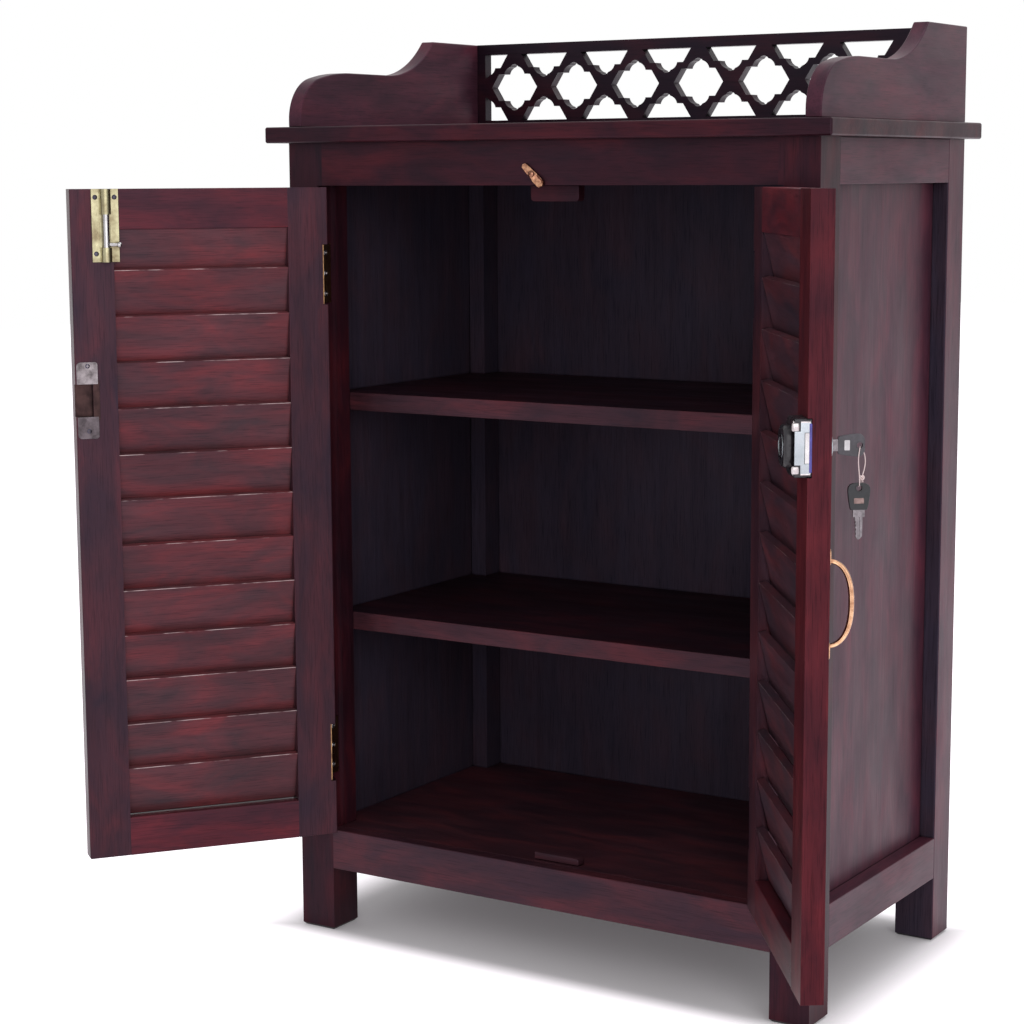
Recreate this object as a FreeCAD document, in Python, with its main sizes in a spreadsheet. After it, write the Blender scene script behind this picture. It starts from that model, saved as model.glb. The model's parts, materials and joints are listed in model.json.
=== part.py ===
# Storage cabinet with two louvred doors, two fixed shelves and a fretwork gallery.
# Millimetres. Origin on the floor under the middle of the case, front towards -Y, +Z up.
import FreeCAD
import Part
import Sketcher
import math
import os
from types import SimpleNamespace
from FreeCAD import Placement, Rotation, Vector

SIZES = {
    # case
    "case_width": 630, "case_depth": 360, "post_height": 876, "post_size": 44, "foot_ease": 3,
    "top_thickness": 17, "top_side_overhang": 19, "top_front_overhang": 18, "top_ease": 1.5,
    "rail_height": 45.5, "low_rail_rise": 72, "top_rail_depth": 40, "low_rail_depth": 26,
    "rear_rail_depth": 26, "side_rail_depth": 30,
    "tenon_length": 20, "tenon_thickness": 12, "tenon_shoulder": 10,
    "side_panel_thickness": 6, "side_panel_setback": 17, "groove_depth": 8,
    "back_panel_thickness": 6, "back_panel_setback": 8,
    "floor_thickness": 16, "floor_side_rebate": 5, "floor_end_rebate": 10,
    "shelf_thickness": 20, "lower_shelf_rise": 338, "upper_shelf_rise": 584.5,
    "shelf_housing": 8, "shelf_tongue_inset": 4,
    "stop_depth": 12, "stop_gap": 0.4, "stop_round": 4,
    "top_stop_left": 20, "top_stop_right": 37.5, "top_stop_drop": 16.5,
    "low_stop_left": 19, "low_stop_right": 36, "low_stop_rise": 8,
    # gallery
    "gallery_height": 101, "bracket_thickness": 17, "bracket_nose_rise": 8, "nose_radius": 46.5,
    "nose_run": 38.5, "nose_rise": 53.8, "lobe_radius": 225, "lobe_run": 91, "lobe_rise": 60,
    "ogee_start": 165, "ogee_end": 254, "ogee_radius": 117.1,
    "fret_thickness": 13, "fret_rail": 12, "fret_end": 11, "fret_count": 7,
    "star_reach": 31.5, "star_rise": 27, "star_tip_half": 5.5, "star_tip_drop": 3,
    "star_step_near": 14, "star_step_far": 21.5, "star_step_height": 15.5, "star_bulge": 1.7,
    # doors
    "door_rebate": 6, "door_thickness": 21, "door_gap": 1.5, "meeting_gap": 2.4, "stile_width": 44,
    "door_rail_width": 42, "left_door_angle": 127, "right_door_angle": 126.5,
    "slat_count": 13, "slat_width": 54, "slat_thickness": 7.5, "slat_tilt": 13.4,
    "slat_setback": 0.6, "slat_housing": 8, "slat_lift": 2.2, "slat_top_drop": 44.5,
    # hinges
    "hinge_height": 63.5, "hinge_offset": 92.5, "leaf_thickness": 1.8, "leaf_gap": 4,
    "leaf_width": 21, "pin_proud": 2.5, "knuckle_radius": 3.4, "knuckle_clearance": 0.4,
    "pin_radius": 1.8, "running_clearance": 0.05, "knuckle_gap": 0.3, "mortise_clearance": 0.3,
    "hinge_screw_head": 3.2, "hinge_screw_shank": 1.6, "hinge_screw_length": 14,
    "hinge_screw_pitch": 22,
    # handles
    "handle_drop": 1, "handle_inset": 17, "handle_bow": 72, "handle_projection": 24.5,
    "handle_radius": 2.2, "handle_foot_length": 12, "handle_foot_width": 11,
    "handle_foot_thickness": 3.5,
    # tower bolt
    "bolt_plate_width": 28, "bolt_plate_height": 75, "bolt_plate_thickness": 1.2,
    "bolt_inset": 36, "bolt_radius": 3.6, "bolt_rise": 4.2, "bolt_guide_radius": 5.4,
    "bolt_upper_guide": 26, "bolt_lower_guide": 15, "bolt_foot_drop": 70, "bolt_travel": 14,
    "bolt_knob_seat": 0.3, "bolt_knob_radius": 2.6, "bolt_knob_reach": 16,
    "bolt_socket_radius": 4.5, "bolt_lip_height": 1.2, "bolt_lip_width": 1.2, "bolt_lip_gap": 1.4,
    "bolt_lip_drop": 35, "bolt_lip_length": 18,
    "fitting_screw_head": 2.6, "fitting_screw_shank": 1.3, "fitting_screw_length": 12,
    "fitting_screw_edge": 4, "bolt_screw_edge": 8.5,
    # lock, strike and keys
    "lock_drop": 218, "lock_case_height": 51, "lock_case_width": 42, "lock_edge_setback": 0.5,
    "lock_case_thickness": 15, "lock_recess": 4, "lock_corner": 12,
    "lock_boss_rise": 8.5, "lock_boss_edge": 5, "lock_boss_width": 32, "lock_boss_height": 38,
    "lock_bolt_height": 26, "lock_bolt_thickness": 5, "lock_bolt_length": 29.5,
    "lock_bolt_inset": 1, "lock_bolt_travel": 9, "lock_bolt_clearance": 0.3,
    "key_inset": 21, "barrel_radius": 9, "rosette_radius": 11, "rosette_thickness": 3,
    "plug_radius": 5, "plug_proud": 0.3, "plug_clearance": 0.2,
    "strike_width": 24, "strike_height": 80, "strike_thickness": 1.2, "strike_edge": 1,
    "strike_slot_height": 34, "strike_slot_depth": 18, "strike_recess": 6,
    "key_head_length": 23.5, "key_head_width": 20, "key_head_thickness": 3, "key_head_round": 7,
    "key_head_gap": 9.2, "key_eye_edge": 4.5, "key_eye_radius": 2.6,
    "key_blade_width": 7.5, "key_blade_thickness": 2, "key_blade_reach": 25.6,
    "key_blade_tail": 3.3, "spare_key_drop": 37.2, "thread_radius": 0.45, "knot_radius": 1.2,
    # turn button
    "button_rise": 11.5, "button_offset": 4.2, "button_tilt": 42, "button_short_arm": 11.4,
    "button_long_arm": 13.9, "button_half_width": 4, "button_end_radius": 4.4,
    "button_thickness": 3, "button_gap": 0.8,
    "button_screw_radius": 1.9, "button_screw_head": 3.4, "button_head_thickness": 1.6,
    "button_screw_length": 15, "button_clearance": 0.1,
}


def as_size(value):
    """Turn a plain number into a size with a constant formula."""
    return value if isinstance(value, Size) else Size("(%r)" % float(value), float(value))


class Size:
    """A number together with the sheet formula that gives it."""

    def __init__(self, formula, number):
        self.formula = formula
        self.number = number

    def __add__(self, other):
        other = as_size(other)
        return Size("(%s + %s)" % (self.formula, other.formula), self.number + other.number)

    def __sub__(self, other):
        other = as_size(other)
        return Size("(%s - %s)" % (self.formula, other.formula), self.number - other.number)

    def __mul__(self, factor):
        factor = as_size(factor)
        return Size("(%s * %s)" % (self.formula, factor.formula), self.number * factor.number)

    def __truediv__(self, divisor):
        divisor = as_size(divisor)
        return Size("(%s / %s)" % (self.formula, divisor.formula), self.number / divisor.number)

    def __neg__(self):
        return self * -1


doc = FreeCAD.newDocument("storage_cabinet")
sheet = doc.addObject("Spreadsheet::Sheet", "Sizes")
for row, (alias, number) in enumerate(SIZES.items(), 1):
    sheet.set("A%d" % row, alias)
    sheet.set("B%d" % row, str(number))
    sheet.setAlias("B%d" % row, alias)
doc.recompute()
size = SimpleNamespace(**{name: Size("Sizes." + name, float(sheet.get(name))) for name in SIZES})
nodes = {}
LEFT, RIGHT = "left", "right"
SIDES = (LEFT, RIGHT)


def bind(item, path, value):
    item.setExpression(path, as_size(value).formula)


def box(low, high):
    solid = doc.addObject("Part::Box", "Board")
    for prop, axis, start, stop in zip(("Length", "Width", "Height"), "xyz", low, high):
        bind(solid, prop, as_size(stop) - start)
        bind(solid, "Placement.Base." + axis, start)
    return solid


TURN_TO = {"x": Rotation(Vector(0, 1, 0), 90), "y": Rotation(Vector(1, 0, 0), -90), "z": Rotation()}


def turned_to(solid, start, axis):
    """Stand a round primitive at start with its axis along +x, +y or +z."""
    solid.Placement = Placement(Vector(), TURN_TO[axis])
    for letter, value in zip("xyz", start):
        bind(solid, "Placement.Base." + letter, value)
    return solid


def cylinder(start, axis, radius, length):
    solid = doc.addObject("Part::Cylinder", "Round")
    bind(solid, "Radius", radius)
    bind(solid, "Height", length)
    return turned_to(solid, start, axis)


def cone(start, axis, start_radius, end_radius, length):
    solid = doc.addObject("Part::Cone", "Taper")
    bind(solid, "Radius1", start_radius)
    bind(solid, "Radius2", end_radius)
    bind(solid, "Height", length)
    return turned_to(solid, start, axis)


def sphere(centre, radius):
    solid = doc.addObject("Part::Sphere", "Ball")
    bind(solid, "Radius", radius)
    return turned_to(solid, centre, "z")


def group(items):
    bundle = doc.addObject("Part::Compound", "Group")
    bundle.Links = list(items)
    return bundle


def fuse(*items):
    joined = doc.addObject("Part::MultiFuse", "Joined")
    joined.Shapes = list(items)
    return joined


def cut(base, *tools):
    result = doc.addObject("Part::Cut", "Worked")
    result.Base = base
    result.Tool = tools[0] if len(tools) == 1 else group(tools)
    return result


def eased(solid, ease, chosen):
    """Chamfer the edges of a plain board that the test picks."""
    doc.recompute()
    chamfer = doc.addObject("Part::Chamfer", "Eased")
    chamfer.Base = solid
    picked = [index for index, edge in enumerate(solid.Shape.Edges, 1) if chosen(edge)]
    chamfer.Edges = [(index, ease.number, ease.number) for index in picked]
    return chamfer


def node(label, item):
    item.Label = label
    nodes[label] = item
    return item


def arc_geometry(start, end, radius, bend):
    """The arc between two points, as drawn counter-clockwise, and whether that runs end to start."""
    first, last = (start, end) if bend == "left" else (end, start)
    chord = last - first
    reach = math.sqrt(max(radius * radius - chord.Length ** 2 / 4, 0))
    centre = (first + last) * 0.5 + Vector(-chord.y, chord.x, 0).normalize() * reach
    angles = [math.atan2(point.y - centre.y, point.x - centre.x) for point in (first, last)]
    circle = Part.Circle(centre, Vector(0, 0, 1), radius)
    return Part.ArcOfCircle(circle, angles[0], angles[1]), bend == "right"


def profile_body(label, plane, corners, offset, thickness, holes=()):
    """Pad an outline. A corner is (x, y, None) or (x, y, (bend, radius)) where an arc leaves it."""
    body = doc.addObject("PartDesign::Body", label)
    sketch = body.newObject("Sketcher::SketchObject", label + "_outline")
    role = [feature for feature in body.Origin.OriginFeatures if feature.Role == plane]
    sketch.AttachmentSupport = [(role[0], "")]
    sketch.MapMode = "FlatFace"
    bind(sketch, "AttachmentOffset.Base.z", offset)

    def hold(kind, args, value):
        index = sketch.addConstraint(Sketcher.Constraint(kind, *args, as_size(value).number))
        bind(sketch, "Constraints[%d]" % index, value)

    points = [Vector(as_size(x).number, as_size(y).number, 0) for x, y, arc in corners]
    ends = []
    for index, (x, y, arc) in enumerate(corners):
        start, end = points[index], points[(index + 1) % len(points)]
        if arc is None:
            line = sketch.addGeometry(Part.LineSegment(start, end))
            ends.append((line, 1, 2))
        else:
            curve, backwards = arc_geometry(start, end, arc[1].number, arc[0])
            line = sketch.addGeometry(curve)
            ends.append((line, 2, 1) if backwards else (line, 1, 2))
    for index, (x, y, arc) in enumerate(corners):
        line, first, last = ends[index]
        before, _, before_last = ends[index - 1]
        sketch.addConstraint(Sketcher.Constraint("Coincident", before, before_last, line, first))
        hold("DistanceX", (-1, 1, line, first), x)
        hold("DistanceY", (-1, 1, line, first), y)
        if arc is not None:
            hold("Radius", (line,), arc[1])
    for x, y, radius in holes:
        centre = Vector(as_size(x).number, as_size(y).number, 0)
        ring = sketch.addGeometry(Part.Circle(centre, Vector(0, 0, 1), radius.number))
        hold("DistanceX", (-1, 1, ring, 3), x)
        hold("DistanceY", (-1, 1, ring, 3), y)
        hold("Radius", (ring,), radius)
    pad = body.newObject("PartDesign::Pad", label + "_pad")
    pad.Profile = sketch
    bind(pad, "Length", thickness)
    return body


def rounded_corners(low_x, low_y, high_x, high_y, rounds):
    """A rectangle, anticlockwise from the lower left, each corner square (None) or rounded."""
    steps = ((low_x, low_y, 1, 0, 0, 1), (high_x, low_y, 0, 1, -1, 0),
             (high_x, high_y, -1, 0, 0, -1), (low_x, high_y, 0, -1, 1, 0))
    corners = []
    for (x, y, out_x, out_y, in_x, in_y), radius in zip(steps, rounds):
        if radius is None:
            corners.append((x, y, None))
        else:
            corners.append((as_size(x) + radius * in_x, as_size(y) + radius * in_y, ("left", radius)))
            corners.append((as_size(x) + radius * out_x, as_size(y) + radius * out_y, None))
    return corners


# Planes that the case pieces share
half_width = size.case_width / 2
front = -size.case_depth / 2
back = size.case_depth / 2
opening = half_width - size.post_size
door_opening = opening + size.door_rebate
low_rail_top = size.low_rail_rise + size.rail_height
top_rail_low = size.post_height - size.rail_height
top_surface = size.post_height + size.top_thickness
panel_inner = half_width - size.side_panel_setback - size.side_panel_thickness
back_panel_front = back - size.back_panel_setback - size.back_panel_thickness
post_back_of_front = front + size.post_size
post_front_of_rear = back - size.post_size


def tenoned_rail(low, high, length_axis, thickness_axis):
    """A rail between its shoulders with one centred stub tenon through both ends."""
    tenon_low, tenon_high = list(low), list(high)
    middle = (as_size(low[thickness_axis]) + high[thickness_axis]) / 2
    tenon_low[length_axis] = as_size(low[length_axis]) - size.tenon_length
    tenon_high[length_axis] = as_size(high[length_axis]) + size.tenon_length
    tenon_low[thickness_axis] = middle - size.tenon_thickness / 2
    tenon_high[thickness_axis] = middle + size.tenon_thickness / 2
    tenon_low[2] = as_size(low[2]) + size.tenon_shoulder
    tenon_high[2] = as_size(high[2]) - size.tenon_shoulder
    return fuse(box(low, high), box(tenon_low, tenon_high))


def on_side(side, near, far):
    """Two distances from the middle plane, as the lower and higher x on that side of the case."""
    return (near, far) if side == RIGHT else (-far, -near)


def door_rebate(side):
    """The step in a front post that the edge of a closed door sits in."""
    x_low, x_high = on_side(side, opening - size.door_gap, door_opening)
    return box((x_low, front - size.door_gap, low_rail_top),
               (x_high, front + size.door_thickness + size.door_gap, top_rail_low))


def post_blank_boxes():
    blanks = {}
    for side in SIDES:
        x_low, x_high = on_side(side, opening, half_width)
        for end, y_low in (("front", front), ("rear", post_front_of_rear)):
            blanks[end, side] = box((x_low, y_low, 0), (x_high, y_low + size.post_size, size.post_height))
    return blanks


post_blanks = post_blank_boxes()
rail_levels = {"top": (top_rail_low, size.post_height), "bottom": (size.low_rail_rise, low_rail_top)}

# Side panels, back panel and floor board
side_panels = {}
for side in SIDES:
    x_low, x_high = on_side(side, panel_inner, half_width - size.side_panel_setback)
    side_panels[side] = node(side + "_side_panel", box(
        (x_low, post_back_of_front - size.groove_depth, low_rail_top - size.groove_depth),
        (x_high, post_front_of_rear + size.groove_depth, top_rail_low + size.groove_depth)))
back_panel = node("back_panel", box(
    (-opening - size.groove_depth, back_panel_front, low_rail_top - size.groove_depth),
    (opening + size.groove_depth, back - size.back_panel_setback, top_rail_low + size.groove_depth)))
floor_reach = half_width - size.side_rail_depth + size.floor_side_rebate
floor_board = node("floor_board", cut(box(
    (-floor_reach, front + size.low_rail_depth - size.floor_end_rebate, low_rail_top - size.floor_thickness),
    (floor_reach, back - size.rear_rail_depth + size.floor_end_rebate, low_rail_top)),
    *post_blanks.values()))

# Shelves, tongued into the front posts and notched round the rear posts
shelves = []
for label, rise in (("lower_shelf", size.lower_shelf_rise), ("upper_shelf", size.upper_shelf_rise)):
    top = rise + size.shelf_thickness
    board = [box((-panel_inner, post_back_of_front, rise), (panel_inner, back_panel_front, top))]
    notches = []
    for side in SIDES:
        x_low, x_high = on_side(side, opening + size.shelf_tongue_inset,
                                panel_inner - size.shelf_tongue_inset)
        board.append(box((x_low, post_back_of_front - size.shelf_housing, rise),
                         (x_high, post_back_of_front, top)))
        x_low, x_high = on_side(side, opening + size.shelf_housing, half_width)
        notches.append(box((x_low, post_front_of_rear + size.shelf_housing, rise), (x_high, back, top)))
    shelves.append(node(label, cut(fuse(*board), *notches)))

# Rails of the case
rails = {}
for level, (z_low, z_high) in rail_levels.items():
    depth = size.top_rail_depth if level == "top" else size.low_rail_depth
    front_rail = tenoned_rail((-opening, front, z_low), (opening, front + depth, z_high), 0, 1)
    rear_rail = tenoned_rail((-opening, back - size.rear_rail_depth, z_low), (opening, back, z_high), 0, 1)
    rails["rear", level] = node("rear_%s_rail" % level, cut(rear_rail, back_panel, floor_board))
    rails["front", level] = front_rail
    for side in SIDES:
        x_low, x_high = on_side(side, half_width - size.side_rail_depth, half_width)
        side_rail = tenoned_rail((x_low, post_back_of_front, z_low),
                                 (x_high, post_front_of_rear, z_high), 1, 0)
        rails[side, level] = node("%s_side_%s_rail" % (side, level),
                                  cut(side_rail, side_panels[side], floor_board))

# Posts, mortised for everything that enters them
for (end, side), blank in post_blanks.items():
    foot = eased(blank, size.foot_ease, lambda edge: max(v.Z for v in edge.Vertexes) < 1)
    entering = [rails[end, "top"], rails[end, "bottom"], rails[side, "top"], rails[side, "bottom"],
                side_panels[side]] + shelves
    entering.append(back_panel if end == "rear" else door_rebate(side))
    node("%s_%s_post" % (end, side), cut(foot, *entering))

# Top board
top_blank = box((-half_width - size.top_side_overhang, front - size.top_front_overhang, size.post_height),
                (half_width + size.top_side_overhang, back, top_surface))
node("top_board", eased(top_blank, size.top_ease, lambda edge: True))

# Gallery brackets, drawn in the side view
for side in SIDES:
    outline = [
        (front, top_surface, None),
        (back, top_surface, None),
        (back, top_surface + size.gallery_height, None),
        (front + size.ogee_end, top_surface + size.gallery_height, ("right", size.ogee_radius)),
        (front + size.ogee_start, top_surface + size.lobe_rise, None),
        (front + size.lobe_run, top_surface + size.lobe_rise, ("left", size.lobe_radius)),
        (front + size.nose_run, top_surface + size.nose_rise, ("left", size.nose_radius)),
        (front, top_surface + size.bracket_nose_rise, None),
    ]
    x_low, x_high = on_side(side, half_width - size.bracket_thickness, half_width)
    node(side + "_gallery_bracket", profile_body(
        side + "_gallery_bracket", "YZ_Plane", outline, x_low, size.bracket_thickness))


def star_prism(x, z, depth):
    """A four-pointed star, round at its top and bottom, with a square step on each diagonal, along +y."""
    reach, rise = size.star_reach.number, size.star_rise.number
    near, far, step = (size.star_step_near.number, size.star_step_far.number, size.star_step_height.number)
    half, drop = size.star_tip_half.number, size.star_tip_drop.number
    edges = [Part.Arc(Vector(-half, 0, sign * (rise - drop)), Vector(0, 0, sign * rise),
                      Vector(half, 0, sign * (rise - drop))).toShape() for sign in (-1, 1)]
    for sign_x, sign_z in ((1, 1), (1, -1), (-1, -1), (-1, 1)):
        tip = Vector(sign_x * half, 0, sign_z * (rise - drop))
        inner = Vector(sign_x * near, 0, sign_z * step)
        outer = Vector(sign_x * far, 0, sign_z * step)
        point = Vector(sign_x * reach, 0, 0)
        swell = Vector(sign_x, 0, sign_z).normalize() * size.star_bulge.number
        edges.append(Part.Arc(tip, (tip + inner) * 0.5 + swell, inner).toShape())
        edges.append(Part.LineSegment(inner, outer).toShape())
        edges.append(Part.LineSegment(outer, point).toShape())
    face = Part.Face(Part.Wire(Part.__sortEdges__(edges)))
    face.translate(Vector(x, 0, z))
    return face.extrude(Vector(0, depth, 0))


def fretwork_shape():
    """A board pierced by one row of stars, with half stars between them along both rails."""
    reach = (half_width - size.bracket_thickness).number
    height, depth = size.gallery_height.number, size.fret_thickness.number
    rail, end = size.fret_rail.number, size.fret_end.number
    window_width, window_height = 2 * (reach - end), height - 2 * rail
    board = Part.makeBox(2 * reach, depth, height, Vector(-reach, 0, 0))
    window = Part.makeBox(window_width, depth, window_height, Vector(end - reach, 0, rail))
    count = int(size.fret_count.number)
    pitch = window_width / count
    stars = []
    for index in range(count):
        stars.append(star_prism(pitch * (index + 0.5) - window_width / 2, height / 2, depth))
    for index in range(count + 1):
        for z in (rail, height - rail):
            stars.append(star_prism(pitch * index - window_width / 2, z, depth))
    return board.cut([window.common(star) for star in stars])


fretwork = doc.addObject("Part::Feature", "gallery_fretwork")
fretwork.Shape = fretwork_shape()
bind(fretwork, "Placement.Base.y", back - size.fret_thickness)
bind(fretwork, "Placement.Base.z", top_surface)
node("gallery_fretwork", fretwork)

# Stops that the closed doors meet
stop_front = front + size.door_thickness + size.stop_gap
node("top_door_stop", profile_body("top_door_stop", "XZ_Plane", rounded_corners(
    -size.top_stop_left, top_rail_low - size.top_stop_drop, size.top_stop_right, top_rail_low,
    (size.stop_round, size.stop_round, None, None)), -(stop_front + size.stop_depth), size.stop_depth))
node("bottom_door_stop", profile_body("bottom_door_stop", "XZ_Plane", rounded_corners(
    -size.low_stop_left, low_rail_top, size.low_stop_right, low_rail_top + size.low_stop_rise,
    (None, None, size.stop_round, None)), -(stop_front + size.stop_depth), size.stop_depth))

# Door frame of reference: x from the hinge axis towards the meeting edge, y from the axis to the back
pivot_inset = size.leaf_thickness + size.leaf_gap / 2
hinge_axis_y = front - size.pin_proud
hinge_edge = size.door_gap - pivot_inset
meeting_edge = door_opening - size.meeting_gap / 2 - pivot_inset
outer_face = size.pin_proud
inner_face = outer_face + size.door_thickness
door_low = low_rail_top + size.door_gap
door_high = top_rail_low - size.door_gap
lock_height = door_high - size.lock_drop
handle_height = (door_low + door_high) / 2 - size.handle_drop
hinge_levels = (door_low + size.hinge_offset, door_high - size.hinge_offset)
door_angle = {LEFT: size.left_door_angle, RIGHT: size.right_door_angle}


def hinge_axis_x(side):
    return door_opening - pivot_inset if side == RIGHT else pivot_inset - door_opening


def span(side, near, far):
    """Distances from the hinge axis towards the meeting edge, as lower and higher x."""
    return (near, far) if side == LEFT else (-far, -near)


def towards(side, distance):
    return distance if side == LEFT else -distance


def on_frame(item, side):
    """Put a piece drawn about the hinge axis onto the case."""
    bind(item, "Placement.Base.x", hinge_axis_x(side))
    bind(item, "Placement.Base.y", hinge_axis_y)
    return item


def on_door(item, side):
    """Put a piece drawn about the hinge axis onto the open door."""
    axis = Vector(0, 0, -1) if side == LEFT else Vector(0, 0, 1)
    item.Placement = Placement(Vector(), Rotation(axis, door_angle[side].number))
    bind(item, "Placement.Rotation.Angle", door_angle[side])
    return on_frame(item, side)


def door_box(side, near, far, y_low, y_high, z_low, z_high):
    x_low, x_high = span(side, near, far)
    return box((x_low, y_low, z_low), (x_high, y_high, z_high))


def build_slats(side):
    """Tilted slats, upper edge to the inside, housed in both stiles and in the top rail."""
    x_low, x_high = span(side, hinge_edge + size.stile_width - size.slat_housing,
                         meeting_edge - size.stile_width + size.slat_housing)
    lowest = door_low + size.door_rail_width + size.slat_lift
    highest = door_high - size.door_rail_width - size.slat_top_drop
    pitch = (highest - lowest) / (size.slat_count - 1)
    slats = []
    for index in range(int(size.slat_count.number)):
        slat = doc.addObject("Part::Box", "Slat")
        bind(slat, "Length", x_high - x_low)
        bind(slat, "Width", size.slat_thickness)
        bind(slat, "Height", size.slat_width)
        slat.Placement = Placement(Vector(), Rotation(Vector(-1, 0, 0), size.slat_tilt.number))
        bind(slat, "Placement.Rotation.Angle", size.slat_tilt)
        bind(slat, "Placement.Base.x", x_low)
        bind(slat, "Placement.Base.y", outer_face + size.slat_setback)
        bind(slat, "Placement.Base.z", lowest + pitch * index)
        slats.append(slat)
    return slats


def build_hinges(side):
    """Butt hinges: one leaf on the post, one in a deep mortise of the door, and a pin between."""
    third = size.hinge_height / 6
    half = size.hinge_height / 2
    plate_start = size.knuckle_radius + size.knuckle_clearance
    leaf_middle = (plate_start + size.leaf_width) / 2
    leaves = {"frame": [], "door": []}
    screws = {"frame": [], "door": []}
    pins, mortises = [], []
    for level in hinge_levels:
        stretches = {
            "frame": ((level - half, level - third - size.knuckle_gap / 2),
                      (level + third + size.knuckle_gap / 2, level + half)),
            "door": ((level - third + size.knuckle_gap / 2, level + third - size.knuckle_gap / 2),),
        }
        for leaf, near, far in (("frame", -pivot_inset, -size.leaf_gap / 2),
                                ("door", size.leaf_gap / 2, pivot_inset)):
            pieces = [door_box(side, near, far, plate_start, size.leaf_width, level - half, level + half)]
            bores = []
            for z_low, z_high in stretches[leaf]:
                pieces.append(door_box(side, near, far, 0, plate_start, z_low, z_high))
                pieces.append(cylinder((0, 0, z_low), "z", size.knuckle_radius, z_high - z_low))
                bores.append(cylinder((0, 0, z_low), "z", size.pin_radius + size.running_clearance,
                                      z_high - z_low))
            leaf_screws = []
            face, into = (far, -1) if leaf == "frame" else (near, 1)
            for step in (-1, 0, 1):
                leaf_screws.append(screw_along_x(
                    towards(side, face), into if side == LEFT else -into, leaf_middle,
                    level + size.hinge_screw_pitch * step, size.leaf_thickness,
                    size.hinge_screw_head, size.hinge_screw_shank, size.hinge_screw_length))
            leaves[leaf].append(cut(fuse(*pieces), *bores, *leaf_screws))
            screws[leaf] += leaf_screws
        pins.append(cylinder((0, 0, level - half), "z", size.pin_radius, size.hinge_height))
        mortises.append(door_box(side, hinge_edge - size.door_gap, pivot_inset,
                                 0, inner_face + size.door_gap,
                                 level - half - size.mortise_clearance,
                                 level + half + size.mortise_clearance))
    return leaves, screws, pins, mortises


def screw_along_x(face, into, y, z, head_depth, head_radius, shank_radius, length):
    """A countersunk screw whose head is flush with the face and whose shank points along x."""
    start = as_size(face) + length * min(into, 0)
    head_start = as_size(face) + head_depth * min(into, 0)
    wide, narrow = (head_radius, shank_radius) if into > 0 else (shank_radius, head_radius)
    return fuse(cylinder((start, y, z), "x", shank_radius, length),
                cone((head_start, y, z), "x", wide, narrow, head_depth))


def screw_along_y(x, face, z, head_depth, head_radius, shank_radius, length):
    """A countersunk screw whose head is flush with a face towards +y and whose shank points to -y."""
    return fuse(cylinder((x, face - length, z), "y", shank_radius, length),
                cone((x, face - head_depth, z), "y", shank_radius, head_radius, head_depth))


def handle_shape(side):
    """A round bow, half an ellipse in the side view, between two flat feet on the door's outer face."""
    x = towards(side, meeting_edge - size.handle_inset).number
    face = outer_face.number
    height, half = handle_height.number, size.handle_bow.number / 2
    radius = size.handle_radius.number
    top_end = Vector(x, face, height + half)
    apex = Vector(x, face - size.handle_projection.number + radius, height)
    bow = Part.ArcOfEllipse(Part.Ellipse(top_end, apex, Vector(x, face, height)), 0, math.pi)
    section = Part.Wire([Part.Circle(top_end, Vector(0, 1, 0), radius).toShape()])
    shape = Part.Wire([bow.toShape()]).makePipeShell([section], True, True)
    long, wide = size.handle_foot_length.number + radius, size.handle_foot_width.number
    depth = size.handle_foot_thickness.number
    for low in (height + half - radius, height - half + radius - long):
        shape = shape.fuse(Part.makeBox(wide, depth, long, Vector(x - wide / 2, face - depth, low)))
    return shape.removeSplitter()


def build_door(side, stile_tools):
    """Frame, slats, hinges and handle of one door."""
    top_low = door_high - size.door_rail_width
    low_top = door_low + size.door_rail_width
    shoulder_near, shoulder_far = hinge_edge + size.stile_width, meeting_edge - size.stile_width
    x_low, x_high = span(side, shoulder_near, shoulder_far)
    top_rail = tenoned_rail((x_low, outer_face, top_low), (x_high, inner_face, door_high), 0, 1)
    low_rail = tenoned_rail((x_low, outer_face, door_low), (x_high, inner_face, low_top), 0, 1)
    slats = build_slats(side)
    slat_tool = group(slats)
    leaves, screws, pins, mortises = build_hinges(side)
    hinge_stile = door_box(side, hinge_edge, shoulder_near, outer_face, inner_face, door_low, door_high)
    meeting_stile = door_box(side, shoulder_far, meeting_edge, outer_face, inner_face, door_low, door_high)
    pieces = {
        "door_hinge_stile": cut(hinge_stile, top_rail, low_rail, slat_tool, *mortises),
        "door_meeting_stile": cut(meeting_stile, top_rail, low_rail, slat_tool, *stile_tools),
        "door_top_rail": cut(top_rail, slat_tool),
        "door_bottom_rail": group([low_rail]),
        "door_slats": cut(slat_tool, *stile_tools),
        "hinge_door_leaves": group(leaves["door"]),
        "door_hinge_screws": group(screws["door"]),
    }
    handle = doc.addObject("Part::Feature", side + "_handle")
    handle.Shape = handle_shape(side)
    pieces["handle"] = handle
    for name, item in pieces.items():
        node("%s_%s" % (side, name), on_door(item, side))
    node(side + "_hinge_frame_leaves", on_frame(group(leaves["frame"]), side))
    node(side + "_hinge_pins", on_frame(group(pins), side))
    return on_frame(group(screws["frame"]), side)


# Tower bolt on the left door
bolt_x = meeting_edge - size.bolt_inset
bolt_y = inner_face + size.bolt_plate_thickness + size.bolt_rise
plate_face = inner_face + size.bolt_plate_thickness
plate_low = door_high - size.bolt_plate_height
plate_near, plate_far = bolt_x - size.bolt_plate_width / 2, bolt_x + size.bolt_plate_width / 2


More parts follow.
